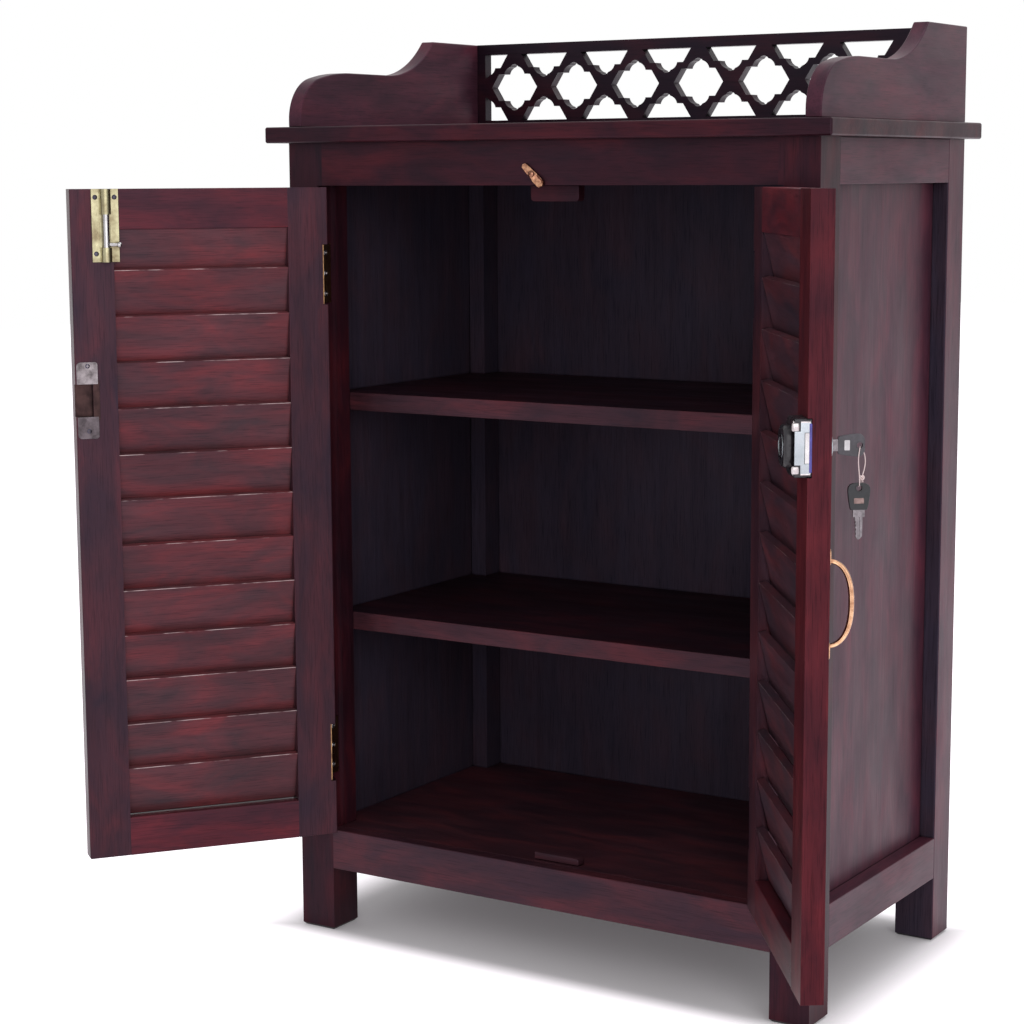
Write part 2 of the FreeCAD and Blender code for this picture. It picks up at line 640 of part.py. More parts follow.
def build_tower_bolt():
    """Plate with two barrel guides, and the sliding rod with its finger knob."""
    pieces = [box((plate_near, inner_face, plate_low), (plate_far, plate_face, door_high))]
    bores = []
    for z_low, length in ((door_high - size.bolt_upper_guide, size.bolt_upper_guide),
                          (plate_low, size.bolt_lower_guide)):
        pieces.append(box((bolt_x - size.bolt_guide_radius, plate_face, z_low),
                          (bolt_x + size.bolt_guide_radius, bolt_y, z_low + length)))
        pieces.append(cylinder((bolt_x, bolt_y, z_low), "z", size.bolt_guide_radius, length))
        bores.append(cylinder((bolt_x, bolt_y, z_low), "z",
                              size.bolt_radius + size.running_clearance, length))
    lip_reach = size.bolt_radius + size.bolt_lip_gap
    lip_high = door_high - size.bolt_lip_drop
    for edge in (bolt_x - lip_reach - size.bolt_lip_width, bolt_x + lip_reach):
        pieces.append(box((edge, plate_face, lip_high - size.bolt_lip_length),
                          (edge + size.bolt_lip_width, plate_face + size.bolt_lip_height, lip_high)))
    below_plate = box((plate_near, outer_face, plate_low), (plate_far, inner_face, door_high))
    near_row, far_row = plate_near + size.fitting_screw_edge, plate_far - size.fitting_screw_edge
    low_row, top_row = plate_low + size.bolt_screw_edge, door_high - size.bolt_screw_edge
    screws = []
    for x, z in ((near_row, top_row), (far_row, top_row), (far_row, low_row)):
        screws.append(fitting_screw(x, plate_face, z, size.bolt_plate_thickness))
    plate = cut(fuse(*pieces), below_plate, *bores, *screws)
    rod_low = door_high - size.bolt_foot_drop
    knob_z = plate_low + size.bolt_lower_guide + size.bolt_knob_seat + size.bolt_knob_radius
    knob_end = bolt_x - size.bolt_knob_reach + size.bolt_knob_radius
    rod = fuse(cylinder((bolt_x, bolt_y, rod_low), "z", size.bolt_radius, size.bolt_foot_drop),
               cylinder((knob_end, bolt_y, knob_z), "x", size.bolt_knob_radius, bolt_x - knob_end),
               sphere((knob_end, bolt_y, knob_z), size.bolt_knob_radius))
    node("bolt_plate", on_door(plate, LEFT))
    node("bolt_rod", on_door(rod, LEFT))
    return screws


def fitting_screw(x, face, z, head_depth):
    return screw_along_y(x, face, z, head_depth, size.fitting_screw_head, size.fitting_screw_shank,
                         size.fitting_screw_length)


def build_strike():
    """Strike plate on the left door, open towards the meeting edge, over a recess for the lock bolt."""
    near, far = meeting_edge - size.strike_edge - size.strike_width, meeting_edge - size.strike_edge
    low, high = lock_height - size.strike_height / 2, lock_height + size.strike_height / 2
    slot_low = lock_height - size.strike_slot_height / 2
    slot_high = lock_height + size.strike_slot_height / 2
    slot_near = meeting_edge - size.strike_slot_depth
    corners = [(near, low, None), (far, low, None), (far, slot_low, None), (slot_near, slot_low, None),
               (slot_near, slot_high, None), (far, slot_high, None), (far, high, None), (near, high, None)]
    face = inner_face + size.strike_thickness
    blank = profile_body("strike_blank", "XZ_Plane", corners, -face, size.strike_thickness)
    screws = [fitting_screw((near + far) / 2, face, z, size.strike_thickness)
              for z in (low + size.fitting_screw_edge * 2, high - size.fitting_screw_edge)]
    recess = box((slot_near, inner_face - size.strike_recess, slot_low),
                 (meeting_edge + size.strike_edge, inner_face, slot_high))
    node("strike_plate", on_door(cut(blank, *screws), LEFT))
    return recess, screws


# Lock on the right door, whose x runs negative towards the meeting edge
lock_far = meeting_edge - size.lock_edge_setback
key_x = -(meeting_edge - size.key_inset)
case_outer = inner_face - size.lock_recess
case_inner = case_outer + size.lock_case_thickness
case_low = lock_height - size.lock_case_height / 2
case_high = lock_height + size.lock_case_height / 2
head_start = outer_face - size.key_head_gap
head_end = head_start - size.key_head_length
eye_y = head_end + size.key_eye_edge


def build_lock():
    """Rim lock: case, sliding bolt, barrel through the stile and the plug that the key turns."""
    blank = profile_body("lock_blank", "XZ_Plane", rounded_corners(
        -lock_far, case_low, size.lock_case_width - lock_far, case_high,
        (None, size.lock_corner, size.lock_corner, None)), -case_inner, size.lock_case_thickness)
    boss_half = size.lock_boss_height / 2
    boss_near = size.lock_boss_edge - lock_far
    boss = profile_body("lock_boss", "XZ_Plane", rounded_corners(
        boss_near, lock_height - boss_half, boss_near + size.lock_boss_width, lock_height + boss_half,
        (size.lock_corner,) * 4), -(case_inner + size.lock_boss_rise), size.lock_boss_rise)
    bolt_low_y = case_outer + size.lock_bolt_inset
    bolt_high_y = bolt_low_y + size.lock_bolt_thickness
    half = size.lock_bolt_height / 2
    room = size.lock_bolt_clearance
    channel = box((-lock_far - room, bolt_low_y - room, lock_height - half - room),
                  (size.lock_bolt_length + room - lock_far, bolt_high_y + room,
                   lock_height + half + room))
    bolt = box((-lock_far, bolt_low_y, lock_height - half),
               (size.lock_bolt_length - lock_far, bolt_high_y, lock_height + half))
    barrel = cylinder((key_x, outer_face - size.rosette_thickness, lock_height), "y",
                      size.barrel_radius, case_outer - outer_face + size.rosette_thickness)
    rosette = cylinder((key_x, outer_face - size.rosette_thickness, lock_height), "y",
                       size.rosette_radius, size.rosette_thickness)
    plug_start = outer_face - size.rosette_thickness - size.plug_proud
    plug_length = case_outer - size.plug_clearance - plug_start
    bore = cylinder((key_x, plug_start, lock_height), "y",
                    size.plug_radius + size.running_clearance, case_outer - plug_start)
    plug = cylinder((key_x, plug_start, lock_height), "y", size.plug_radius, plug_length)
    node("lock_case", on_door(cut(fuse(blank, boss), channel), RIGHT))
    node("lock_bolt", on_door(group([bolt]), RIGHT))
    node("lock_barrel", on_door(cut(fuse(barrel, rosette), bore), RIGHT))
    edge_notch = box((-meeting_edge - size.door_gap, case_outer, case_low),
                     (-lock_far, inner_face, case_high))
    return [blank, edge_notch, barrel], plug


def build_key(label, start, end, eye, upright):
    """A flat key: plastic head with an eye, steel blade let into the head.

    start and end are where the head begins and ends along the key, eye is the centre of the hole,
    and upright says that the key hangs along z below its eye instead of standing along y.
    """
    half = size.key_head_width / 2
    corner = size.key_head_round
    if upright:
        low, high = (eye_y - half, start), (eye_y + half, end)
        hole = (eye_y, eye, size.key_eye_radius)
        blade_low = (key_x, eye_y - size.key_blade_width / 2, start - size.key_blade_reach)
        blade_high = (key_x, eye_y + size.key_blade_width / 2, start + size.key_blade_tail)
    else:
        low, high = (end, lock_height - half), (start, lock_height + half)
        hole = (eye, lock_height, size.key_eye_radius)
        blade_low = (key_x, start - size.key_blade_tail, lock_height - size.key_blade_width / 2)
        blade_high = (key_x, start + size.key_blade_reach, lock_height + size.key_blade_width / 2)
    blank = profile_body(label + "_blank", "YZ_Plane",
                         rounded_corners(*low, *high, (corner,) * 4),
                         key_x - size.key_head_thickness / 2, size.key_head_thickness, [hole])
    half_blade = size.key_blade_thickness / 2
    blade = box((blade_low[0] - half_blade, *blade_low[1:]), (blade_high[0] + half_blade, *blade_high[1:]))
    node(label + "_head", on_door(cut(blank, blade), RIGHT))
    node(label + "_blade", on_door(group([blade]), RIGHT))
    return blade


# Route of the thread about the first key's eye: (along x, along z)
THREAD_ROUTE = [(3.3, -29.0), (3.6, -21.5), (3.3, -14.0), (2.6, -6.6), (2.4, -1.6), (-2.4, -1.6),
                (-2.6, -6.6), (-3.3, -14.0), (-3.7, -21.5), (-3.3, -29.0), (-2.4, -35.6), (2.4, -35.6),
                (3.2, -31.0)]
RUN_SHARE = 0.45


def thread_path(points):
    """Straight runs joined by tangent arcs as large as the runs allow."""
    edges, radii = [], []
    place = points[0]
    for before, corner, after in zip(points, points[1:], points[2:]):
        arriving, leaving = corner - before, after - corner
        setback = RUN_SHARE * min(arriving.Length, leaving.Length)
        turn = arriving.getAngle(leaving)
        radii.append(setback / math.tan(turn / 2))
        arriving.normalize()
        leaving.normalize()
        first, last = corner - arriving * setback, corner + leaving * setback
        inward = (leaving - arriving).normalize()
        middle = corner + inward * (radii[-1] / math.cos(turn / 2) - radii[-1])
        edges.append(Part.LineSegment(place, first).toShape())
        edges.append(Part.Arc(first, middle, last).toShape())
        place = last
    edges.append(Part.LineSegment(place, points[-1]).toShape())
    return Part.Wire(edges), radii


def thread_shape():
    """The loop of thread between the two keys, closed by a knot."""
    points = [Vector(key_x.number + x, eye_y.number, lock_height.number + z) for x, z in THREAD_ROUTE]
    path, radii = thread_path(points)
    radius = size.thread_radius.number
    start = (points[1] - points[0]).normalize()
    section = Part.Wire([Part.Circle(points[0], start, radius).toShape()])
    tube = path.makePipeShell([section], True, False)
    print("thread length %.2f mm, bend radii %s" % (path.Length, ["%.2f" % value for value in radii]))
    full = math.pi * radius ** 2 * path.Length
    print("thread volume over section times length %.4f" % (tube.Volume / full))
    knot = Part.makeSphere(size.knot_radius.number, (points[0] + points[-1]) * 0.5)
    return tube.fuse(knot).removeSplitter()


def build_keys(plug):
    """The key in the lock, its plug, the spare key below it and the thread between them."""
    blade = build_key("key", head_start, head_end, eye_y, False)
    node("lock_plug", on_door(cut(plug, blade), RIGHT))
    spare_eye = lock_height - size.spare_key_drop
    spare_top = spare_eye + size.key_eye_edge
    build_key("spare_key", spare_top - size.key_head_length, spare_top, spare_eye, True)
    thread = doc.addObject("Part::Feature", "key_thread")
    thread.Shape = thread_shape()
    node("key_thread", on_door(thread, RIGHT))


def build_turn_button():
    """A turn button that swings about a screw in the top rail."""
    reach_low, reach_high = size.button_long_arm, size.button_short_arm
    half, end = size.button_half_width, ("left", size.button_end_radius)
    corners = [(-reach_low, -half, None), (reach_high, -half, end),
               (reach_high, half, None), (-reach_low, half, end)]
    hole = (0, 0, size.button_screw_radius + size.button_clearance)
    button = profile_body("turn_button", "XZ_Plane", corners, size.button_gap, size.button_thickness, [hole])
    button.Placement = Placement(Vector(), Rotation(Vector(0, 1, 0), size.button_tilt.number))
    bind(button, "Placement.Rotation.Angle", size.button_tilt + 180)
    head_y = front - size.button_gap - size.button_thickness - size.button_clearance
    shank = size.button_screw_length + size.button_gap + size.button_thickness + size.button_clearance
    x, z = -size.button_offset, top_rail_low + size.button_rise
    for axis, value in zip("xyz", (x, front, z)):
        bind(button, "Placement.Base." + axis, value)
    collar_radius = size.button_screw_head
    screw = fuse(cylinder((x, head_y, z), "y", size.button_screw_radius, shank),
                 cylinder((x, head_y - size.button_head_thickness, z), "y", collar_radius,
                          size.button_head_thickness),
                 cylinder((x, front - size.button_gap + size.button_clearance, z), "y", collar_radius,
                          size.button_gap - size.button_clearance))
    node("turn_button", button)
    node("turn_button_screw", screw)


strike_recess, strike_screws = build_strike()
bolt_screws = build_tower_bolt()
lock_tools, lock_plug = build_lock()
frame_screws = [build_door(LEFT, [strike_recess]), build_door(RIGHT, lock_tools)]
node("frame_hinge_screws", group(frame_screws))
node("left_door_fitting_screws", on_door(group(bolt_screws + strike_screws), LEFT))
build_keys(lock_plug)
build_turn_button()

# Front rails: the top one has the socket that the tower bolt shoots into
socket = cylinder((hinge_axis_x(LEFT) + bolt_x, hinge_axis_y + bolt_y, top_rail_low), "z",
                  size.bolt_socket_radius, size.bolt_travel + size.door_gap)
node("front_top_rail", cut(rails["front", "top"], socket))
node("front_bottom_rail", cut(rails["front", "bottom"], floor_board))

doc.recompute()
failed = [item.Label for item in doc.Objects if set(item.State) & {"Invalid", "Error"}]
for label, item in nodes.items():
    if item.Shape.isNull() or not item.Shape.isValid() or not item.Shape.Solids:
        failed.append(label)
if failed:
    raise RuntimeError("failed: " + ", ".join(sorted(set(failed))))
os.makedirs("parts", exist_ok=True)
for label, item in nodes.items():
    item.Shape.exportStep("parts/%s.step" % label)
print("wrote %d nodes" % len(nodes))
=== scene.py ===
# Looks of the louvred storage cabinet: stained wood, brass and chrome fittings, keys on a thread.
import bmesh
import bpy
import json
import math
from mathutils import Matrix, Vector


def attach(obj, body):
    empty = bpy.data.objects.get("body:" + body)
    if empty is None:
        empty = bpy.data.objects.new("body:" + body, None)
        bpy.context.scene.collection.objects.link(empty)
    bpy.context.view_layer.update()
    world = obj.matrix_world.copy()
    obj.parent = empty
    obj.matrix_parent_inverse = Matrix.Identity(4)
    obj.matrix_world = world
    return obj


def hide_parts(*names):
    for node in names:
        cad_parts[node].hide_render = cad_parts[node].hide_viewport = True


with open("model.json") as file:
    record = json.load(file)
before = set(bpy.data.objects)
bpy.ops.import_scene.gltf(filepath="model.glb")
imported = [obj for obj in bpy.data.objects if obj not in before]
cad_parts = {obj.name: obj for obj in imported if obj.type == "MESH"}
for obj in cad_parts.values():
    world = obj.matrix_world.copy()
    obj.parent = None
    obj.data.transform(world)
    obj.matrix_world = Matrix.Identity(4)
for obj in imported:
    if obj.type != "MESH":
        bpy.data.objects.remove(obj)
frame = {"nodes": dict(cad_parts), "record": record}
NODES = frame["nodes"]
BODY_OF = {node: body for body, nodes in frame["record"]["behaviour"]["bodies"].items() for node in nodes}
SLOT_OF = {entry["node"]: entry["material_slot"] for entry in frame["record"]["subparts"]}
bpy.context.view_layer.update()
MM = 0.001
scene = bpy.context.scene
scene.view_settings.view_transform = "Standard"

# Door frames at rest, from the hinge line: x towards the meeting edge on the left door and away from it
# on the right, y inwards
HINGE_X, HINGE_Y = 0.2732, -0.1825
LEFT_OPEN, RIGHT_OPEN = 127, 126.5
DOOR = {
    "left": Matrix.Translation((-HINGE_X, HINGE_Y, 0)) @ Matrix.Rotation(math.radians(-LEFT_OPEN), 4, "Z"),
    "right": Matrix.Translation((HINGE_X, HINGE_Y, 0)) @ Matrix.Rotation(math.radians(RIGHT_OPEN), 4, "Z"),
}
CASE = Matrix.Identity(4)

# Places in a door's frame, in millimetres
MEETING_EDGE, OUTER_FACE, INNER_FACE = 272.0, 2.5, 23.5
DOOR_LOW, DOOR_HIGH = 119.0, 829.0
LOCK_HEIGHT, KEY_SETBACK = 611.0, 21.0
KEY_X, EYE_Y = -(MEETING_EDGE - KEY_SETBACK), -25.7
FIRST_EYE = Vector((KEY_X, EYE_Y, LOCK_HEIGHT))
STRIKE_RECESS = ((240.0, 15.0, LOCK_HEIGHT - 22), (MEETING_EDGE + 1, 23.2, LOCK_HEIGHT + 22))

# Axes of flat outlines and turned shapes: the third axis of each is the thickness or the turning axis
ALONG_X = Matrix(((0, 0, 1, 0), (1, 0, 0, 0), (0, 1, 0, 0), (0, 0, 0, 1)))
ALONG_Y = Matrix(((1, 0, 0, 0), (0, 0, 1, 0), (0, 1, 0, 0), (0, 0, 0, 1)))
ALONG_Z = Matrix.Identity(4)


# Materials

# Where most values of a noise lie
NOISE_RANGE = (0.3, 0.7)


def node_tree(name):
    material = bpy.data.materials.new(name)
    material.use_nodes = True
    tree = material.node_tree
    return material, tree, tree.nodes["Principled BSDF"]


def link(tree, source, output, target, socket):
    tree.links.new(source.outputs[output], target.inputs[socket])


def ramp(tree, fac, stops):
    """A colour from a factor, through stops of place and colour."""
    node = tree.nodes.new("ShaderNodeValToRGB")
    elements = node.color_ramp.elements
    while len(elements) < len(stops):
        elements.new(0.5)
    for element, (place, colour) in zip(elements, stops):
        element.position = place
        element.color = (*colour, 1)
    tree.links.new(fac, node.inputs["Fac"])
    return node.outputs["Color"]


def greys(*stops):
    """Stops of place and grey level as stops of colour."""
    return [(place, (level, level, level)) for place, level in stops]


def noise(tree, vector, scale, detail=4.0, roughness=0.55, distortion=0.0):
    node = tree.nodes.new("ShaderNodeTexNoise")
    node.inputs["Scale"].default_value = scale
    node.inputs["Detail"].default_value = detail
    node.inputs["Roughness"].default_value = roughness
    node.inputs["Distortion"].default_value = distortion
    tree.links.new(vector, node.inputs["Vector"])
    return node.outputs["Fac"]


def mapped(tree, vector, scale):
    node = tree.nodes.new("ShaderNodeMapping")
    node.inputs["Scale"].default_value = scale
    tree.links.new(vector, node.inputs["Vector"])
    return node.outputs["Vector"]


def mix(tree, mode, factor, first, second):
    node = tree.nodes.new("ShaderNodeMix")
    node.data_type = "RGBA"
    node.blend_type = mode
    for value, index in ((factor, 0), (first, 6), (second, 7)):
        if isinstance(value, bpy.types.NodeSocket):
            tree.links.new(value, node.inputs[index])
        else:
            node.inputs[index].default_value = value
    return node.outputs[2]


def combined(tree, operation, first, second):
    """Two values through a Math node."""
    node = tree.nodes.new("ShaderNodeMath")
    node.operation = operation
    tree.links.new(first, node.inputs[0])
    tree.links.new(second, node.inputs[1])
    return node.outputs["Value"]


def spread(tree, value, low, high, within=NOISE_RANGE, kind="LINEAR"):
    """A value that lies within a range, most often a noise, laid out between two limits."""
    node = tree.nodes.new("ShaderNodeMapRange")
    node.interpolation_type = kind
    node.inputs["From Min"].default_value, node.inputs["From Max"].default_value = within
    node.inputs["To Min"].default_value = low
    node.inputs["To Max"].default_value = high
    tree.links.new(value, node.inputs["Value"])
    return node.outputs["Result"]


def bumps(tree, shader, layers):
    """Surface relief from layers of height, strength and depth."""
    normal = None
    for height, strength, distance in layers:
        node = tree.nodes.new("ShaderNodeBump")
        node.inputs["Strength"].default_value = strength
        node.inputs["Distance"].default_value = distance
        tree.links.new(height, node.inputs["Height"])
        if normal is not None:
            tree.links.new(normal, node.inputs["Normal"])
        normal = node.outputs["Normal"]
    tree.links.new(normal, shader.inputs["Normal"])


# Stained finishes, linear colours: brown-grey patches, main colour, red patches; roughness, reflection level.
# Some finishes hold painted shade or a painted sheen, as noted
FINISHES = {
    "slat": ((0.066, 0.0340, 0.0390), (0.122, 0.0370, 0.0430), (0.215, 0.0400, 0.0450), 0.34, 0.22),
    # Darker copy of the slat finish for the right door's slats: painted shade
    "shaded_slat": ((0.036, 0.0230, 0.0330), (0.064, 0.0250, 0.0340), (0.115, 0.0270, 0.0330), 0.34, 0.18),
    "stile": ((0.030, 0.0140, 0.0230), (0.054, 0.0180, 0.0250), (0.098, 0.0220, 0.0280), 0.33, 0.20),
    "rail": ((0.038, 0.0110, 0.0170), (0.084, 0.0150, 0.0220), (0.150, 0.0190, 0.0250), 0.33, 0.20),
    "edge": ((0.048, 0.0110, 0.0160), (0.078, 0.0135, 0.0185), (0.115, 0.0170, 0.0220), 0.33, 0.08),
    "case": ((0.020, 0.0070, 0.0115), (0.035, 0.0083, 0.0135), (0.068, 0.0108, 0.0155), 0.34, 0.13),
    "fret": ((0.010, 0.0055, 0.0105), (0.016, 0.0062, 0.0110), (0.034, 0.0080, 0.0125), 0.34, 0.16),
    # The side finish's lavender tint is partly the stain and partly a painted sheen, the grazing reflection
    # on the case's sides
    "side": ((0.045, 0.0165, 0.0280), (0.072, 0.0218, 0.0360), (0.110, 0.0258, 0.0415), 0.38, 0.17),
    # Near-black bluish finish for faces that look into the case: painted shade
    "inside_shade": ((0.036, 0.0290, 0.0470), (0.041, 0.0300, 0.0460), (0.052, 0.0310, 0.0450), 0.42, 0.10),
    # Much darker finish for the shelves' tops: painted shade
    "shelf_top_shade": ((0.013, 0.0060, 0.0095), (0.022, 0.0075, 0.0115), (0.044, 0.0095, 0.0135), 0.38, 0.10),
    "shelf": ((0.030, 0.0140, 0.0200), (0.058, 0.0195, 0.0260), (0.105, 0.0240, 0.0300), 0.36, 0.16),
}
VARNISH_TINT = (0.86, 0.76, 1.0, 1)
# Painted highlight: a pale colour on the upward-facing edges of the slats, broken into pieces by a noise
ARRIS_HIGHLIGHT_FINISHES, ARRIS_HIGHLIGHT_COLOUR = ("slat", "shaded_slat"), (0.72, 0.58, 0.58, 1)
# Reach and samples of the painted shade that darkens the wood in creases, at joints and in the gaps between
# slats
CREVICE_SHADE_REACH, CREVICE_SHADE_SAMPLES = 0.004, 8
# Noise layers of the wood: scale across the grain and along it, detail, roughness, distortion
GRAIN = {
    "patch": (30, 11, 4.0, 0.55, 0.6),
    "figure": (110, 6, 5.0, 0.6, 0.7),
    "pores": (1150, 34, 2.0, 0.6, 0.0),
    "highlight_gaps": (8, 28, 3.0, 0.6, 0.0),
    "smear": (22, 6, 4.0, 0.65, 0.0),
}
# How far each board's own random number moves its grain
BOARD_SHIFT = (3.1, 5.7, 4.3)
WOODS = {}


def wood(finish, axis):
    """Stained and varnished hardwood with its grain along one axis of the piece, with painted shade in its
    creases and, on slats, painted highlights on their upward-facing edges.
    """
    if (finish, axis) in WOODS:
        return WOODS[finish, axis]
    brown, main, red, roughness, level = FINISHES[finish]
    material, tree, shader = node_tree("wood_%s_%s" % (finish, axis))
    place = tree.nodes.new("ShaderNodeTexCoord")
    info = tree.nodes.new("ShaderNodeObjectInfo")
    island = tree.nodes.new("ShaderNodeNewGeometry")
    own = combined(tree, "ADD", info.outputs["Random"], island.outputs["Random Per Island"])
    shift = tree.nodes.new("ShaderNodeVectorMath")
    shift.operation = "MULTIPLY_ADD"
    tree.links.new(own, shift.inputs[0])
    shift.inputs[1].default_value = BOARD_SHIFT
    link(tree, place, "Object", shift, 2)
    vector = shift.outputs[0]

    def grain_layer(name):
        across, along, *shape = GRAIN[name]
        scale = tuple(along if letter == axis else across for letter in "xyz")
        return noise(tree, mapped(tree, vector, scale), 1.0, *shape)

    def darkened(amount, source, *stops):
        return mix(tree, "MULTIPLY", amount, shade, ramp(tree, source, greys(*stops)))

    figure = grain_layer("figure")
    pores = grain_layer("pores")
    # Painted shade: an occlusion node darkens the colour in creases and between parts
    crevice_shade = tree.nodes.new("ShaderNodeAmbientOcclusion")
    crevice_shade.samples = CREVICE_SHADE_SAMPLES
    crevice_shade.inputs["Distance"].default_value = CREVICE_SHADE_REACH
    shade = ramp(tree, grain_layer("patch"), ((0.30, brown), (0.50, main), (0.72, red)))
    shade = darkened(0.85, figure, (0.30, 0.76), (0.68, 1.08))
    shade = darkened(0.50, pores, (0.36, 0.30), (0.47, 1.0))
    shade = darkened(0.85, noise(tree, vector, 4.5, 2.0), (0.30, 0.74), (0.70, 1.18))
    shade = darkened(0.9, crevice_shade.outputs["AO"], (0.34, 0.06), (0.72, 1.0))
    # Painted highlight on the slats' upward-facing edges, where light from above falls
    if finish in ARRIS_HIGHLIGHT_FINISHES:
        facing = tree.nodes.new("ShaderNodeSeparateXYZ")
        link(tree, place, "Normal", facing, 0)
        arris = ramp(tree, facing.outputs["Z"], greys((0.30, 0), (0.45, 1), (0.90, 1), (0.97, 0)))
        broken = ramp(tree, grain_layer("highlight_gaps"), greys((0.46, 0), (0.60, 0.85)))
        arris_highlight = mix(tree, "MULTIPLY", 1.0, arris, broken)
        shade = mix(tree, "MIX", arris_highlight, shade, ARRIS_HIGHLIGHT_COLOUR)
    tree.links.new(shade, shader.inputs["Base Color"])
    gloss = spread(tree, grain_layer("smear"), roughness - 0.06, roughness + 0.10)
    tree.links.new(gloss, shader.inputs["Roughness"])
    bumps(tree, shader, ((pores, 0.10, 0.0004), (figure, 0.14, 0.0012)))
    shader.inputs["Specular IOR Level"].default_value = level
    shader.inputs["Specular Tint"].default_value = VARNISH_TINT
    WOODS[finish, axis] = material
    return material


def metal(name, colour, roughness, stain, stain_colour, scratch=0.35, grain=(300, 300, 2600), clouds=90.0):
    """Bare or plated metal with a cloudy tarnish, fine scratches and uneven gloss."""
    material, tree, shader = node_tree(name)
    place = tree.nodes.new("ShaderNodeTexCoord").outputs["Object"]
    cloud = noise(tree, place, clouds, 5.0, 0.65)
    spots = ramp(tree, cloud, greys((0.40, 0.0), (0.70, stain)))
    shade = mix(tree, "MIX", spots, (*colour, 1), (*stain_colour, 1))
    tree.links.new(shade, shader.inputs["Base Color"])
    scratches = noise(tree, mapped(tree, place, grain), 1.0, 2.0)
    gloss = spread(tree, cloud, max(roughness - 0.08, 0.03), roughness + 0.12)
    tree.links.new(gloss, shader.inputs["Roughness"])
    bumps(tree, shader, ((scratches, scratch * 0.2, 0.0001),))
    shader.inputs["Metallic"].default_value = 1.0
    return material


def plastic(name, colour, roughness):
    """Moulded plastic with a faint texture and rubbed patches."""
    material, tree, shader = node_tree(name)
    place = tree.nodes.new("ShaderNodeTexCoord").outputs["Object"]
    cloud = noise(tree, place, 160.0, 4.0)
    rubbed = ramp(tree, cloud, ((0.35, tuple(c * 0.75 for c in colour)),
                                (0.70, tuple(min(c * 1.3, 1) for c in colour))))
    tree.links.new(rubbed, shader.inputs["Base Color"])
    tree.links.new(spread(tree, cloud, roughness - 0.05, roughness + 0.1), shader.inputs["Roughness"])
    bumps(tree, shader, ((noise(tree, place, 2200.0, 2.0), 0.15, 0.0001),))
    shader.inputs["Specular IOR Level"].default_value = 0.35
    return material


def thread_material():
    """Twisted cotton: pale strands with darker gaps wound round the thread."""
    material, tree, shader = node_tree("cotton_thread")
    place = tree.nodes.new("ShaderNodeTexCoord").outputs["Object"]
    twist = tree.nodes.new("ShaderNodeTexWave")
    twist.bands_direction = "DIAGONAL"
    twist.inputs["Scale"].default_value = 900.0
    twist.inputs["Distortion"].default_value = 1.5
    tree.links.new(place, twist.inputs["Vector"])
    strands = ramp(tree, twist.outputs["Fac"], ((0.2, (0.66, 0.48, 0.48)), (0.7, (0.90, 0.78, 0.77))))
    tree.links.new(strands, shader.inputs["Base Color"])
    bumps(tree, shader, ((twist.outputs["Fac"], 0.4, 0.0002),))
    shader.inputs["Roughness"].default_value = 0.85
    return material


PALE_BRASS = metal("pale_brass", (0.37, 0.345, 0.215), 0.30, 0.9, (0.17, 0.130, 0.075), clouds=60.0)
COPPER = metal("warm_brass", (0.56, 0.335, 0.20), 0.24, 0.85, (0.27, 0.12, 0.065), clouds=170.0)
BUTTON_BRASS = metal("button_brass", (0.56, 0.30, 0.18), 0.22, 1.0, (0.16, 0.055, 0.04), clouds=330.0)
HINGE_BRASS = metal("hinge_brass", (0.36, 0.21, 0.10), 0.32, 0.8, (0.12, 0.06, 0.04))
BUTTON_SCREW = metal("old_brass_screw", (0.30, 0.15, 0.10), 0.30, 0.8, (0.10, 0.04, 0.03), clouds=300.0)
STEEL = metal("bright_steel", (0.46, 0.45, 0.45), 0.24, 0.6, (0.27, 0.26, 0.27))
BROWN_STEEL = metal("brown_steel", (0.052, 0.029, 0.028), 0.46, 0.8, (0.025, 0.016, 0.017))
ZINC = metal("dull_zinc", (0.27, 0.24, 0.25), 0.46, 0.9, (0.085, 0.072, 0.075), 0.8, clouds=110.0)
# Darker copy of the zinc for the strike's lower tab: painted shade
SHADED_ZINC = metal("shaded_zinc", (0.12, 0.10, 0.11), 0.46, 0.9, (0.05, 0.042, 0.045), 0.8, clouds=110.0)
CHROME = metal("chrome_plate", (0.32, 0.36, 0.38), 0.12, 0.5, (0.30, 0.29, 0.32), clouds=70.0)
BRIGHT_CHROME = metal("bright_chrome", (0.50, 0.47, 0.47), 0.10, 0.7, (0.24, 0.20, 0.21), clouds=240.0)
DARK_STEEL = metal("dark_screw_steel", (0.075, 0.07, 0.095), 0.36, 0.6, (0.03, 0.028, 0.04))
KEY_STEEL = metal("key_steel", (0.17, 0.155, 0.165), 0.30, 0.8, (0.075, 0.066, 0.07), 0.6, clouds=200.0)
SATIN_LABEL = metal("satin_label", (0.36, 0.35, 0.36), 0.34, 0.5, (0.24, 0.23, 0.24))
ROSE_LABEL = metal("rose_label", (0.22, 0.155, 0.145), 0.40, 0.7, (0.11, 0.075, 0.072), clouds=300.0)
GREY_PLASTIC = plastic("grey_key_plastic", (0.060, 0.056, 0.066), 0.36)
BLACK_PLASTIC = plastic("black_key_plastic", (0.016, 0.017, 0.020), 0.34)
LOCK_BLACK = plastic("lock_black", (0.020, 0.018, 0.022), 0.26)
FILM = plastic("blue_film", (0.075, 0.065, 0.30), 0.30)
THREAD = thread_material()


# Shapes, in millimetres

# Angles between faces, in degrees: rounded from, merged up to and shaded sharp from
ROUND_FROM, MERGE_TO, SHARP_FROM = 30, 0.4, 40
# Nearer points of a solid's mesh are joined, in metres
WELD_DISTANCE = 1e-5


def add_box(bm, low, high):
    made = bmesh.ops.create_cube(bm, size=1.0)["verts"]
    for vert in made:
        vert.co = [low[i] if vert.co[i] < 0 else high[i] for i in range(3)]


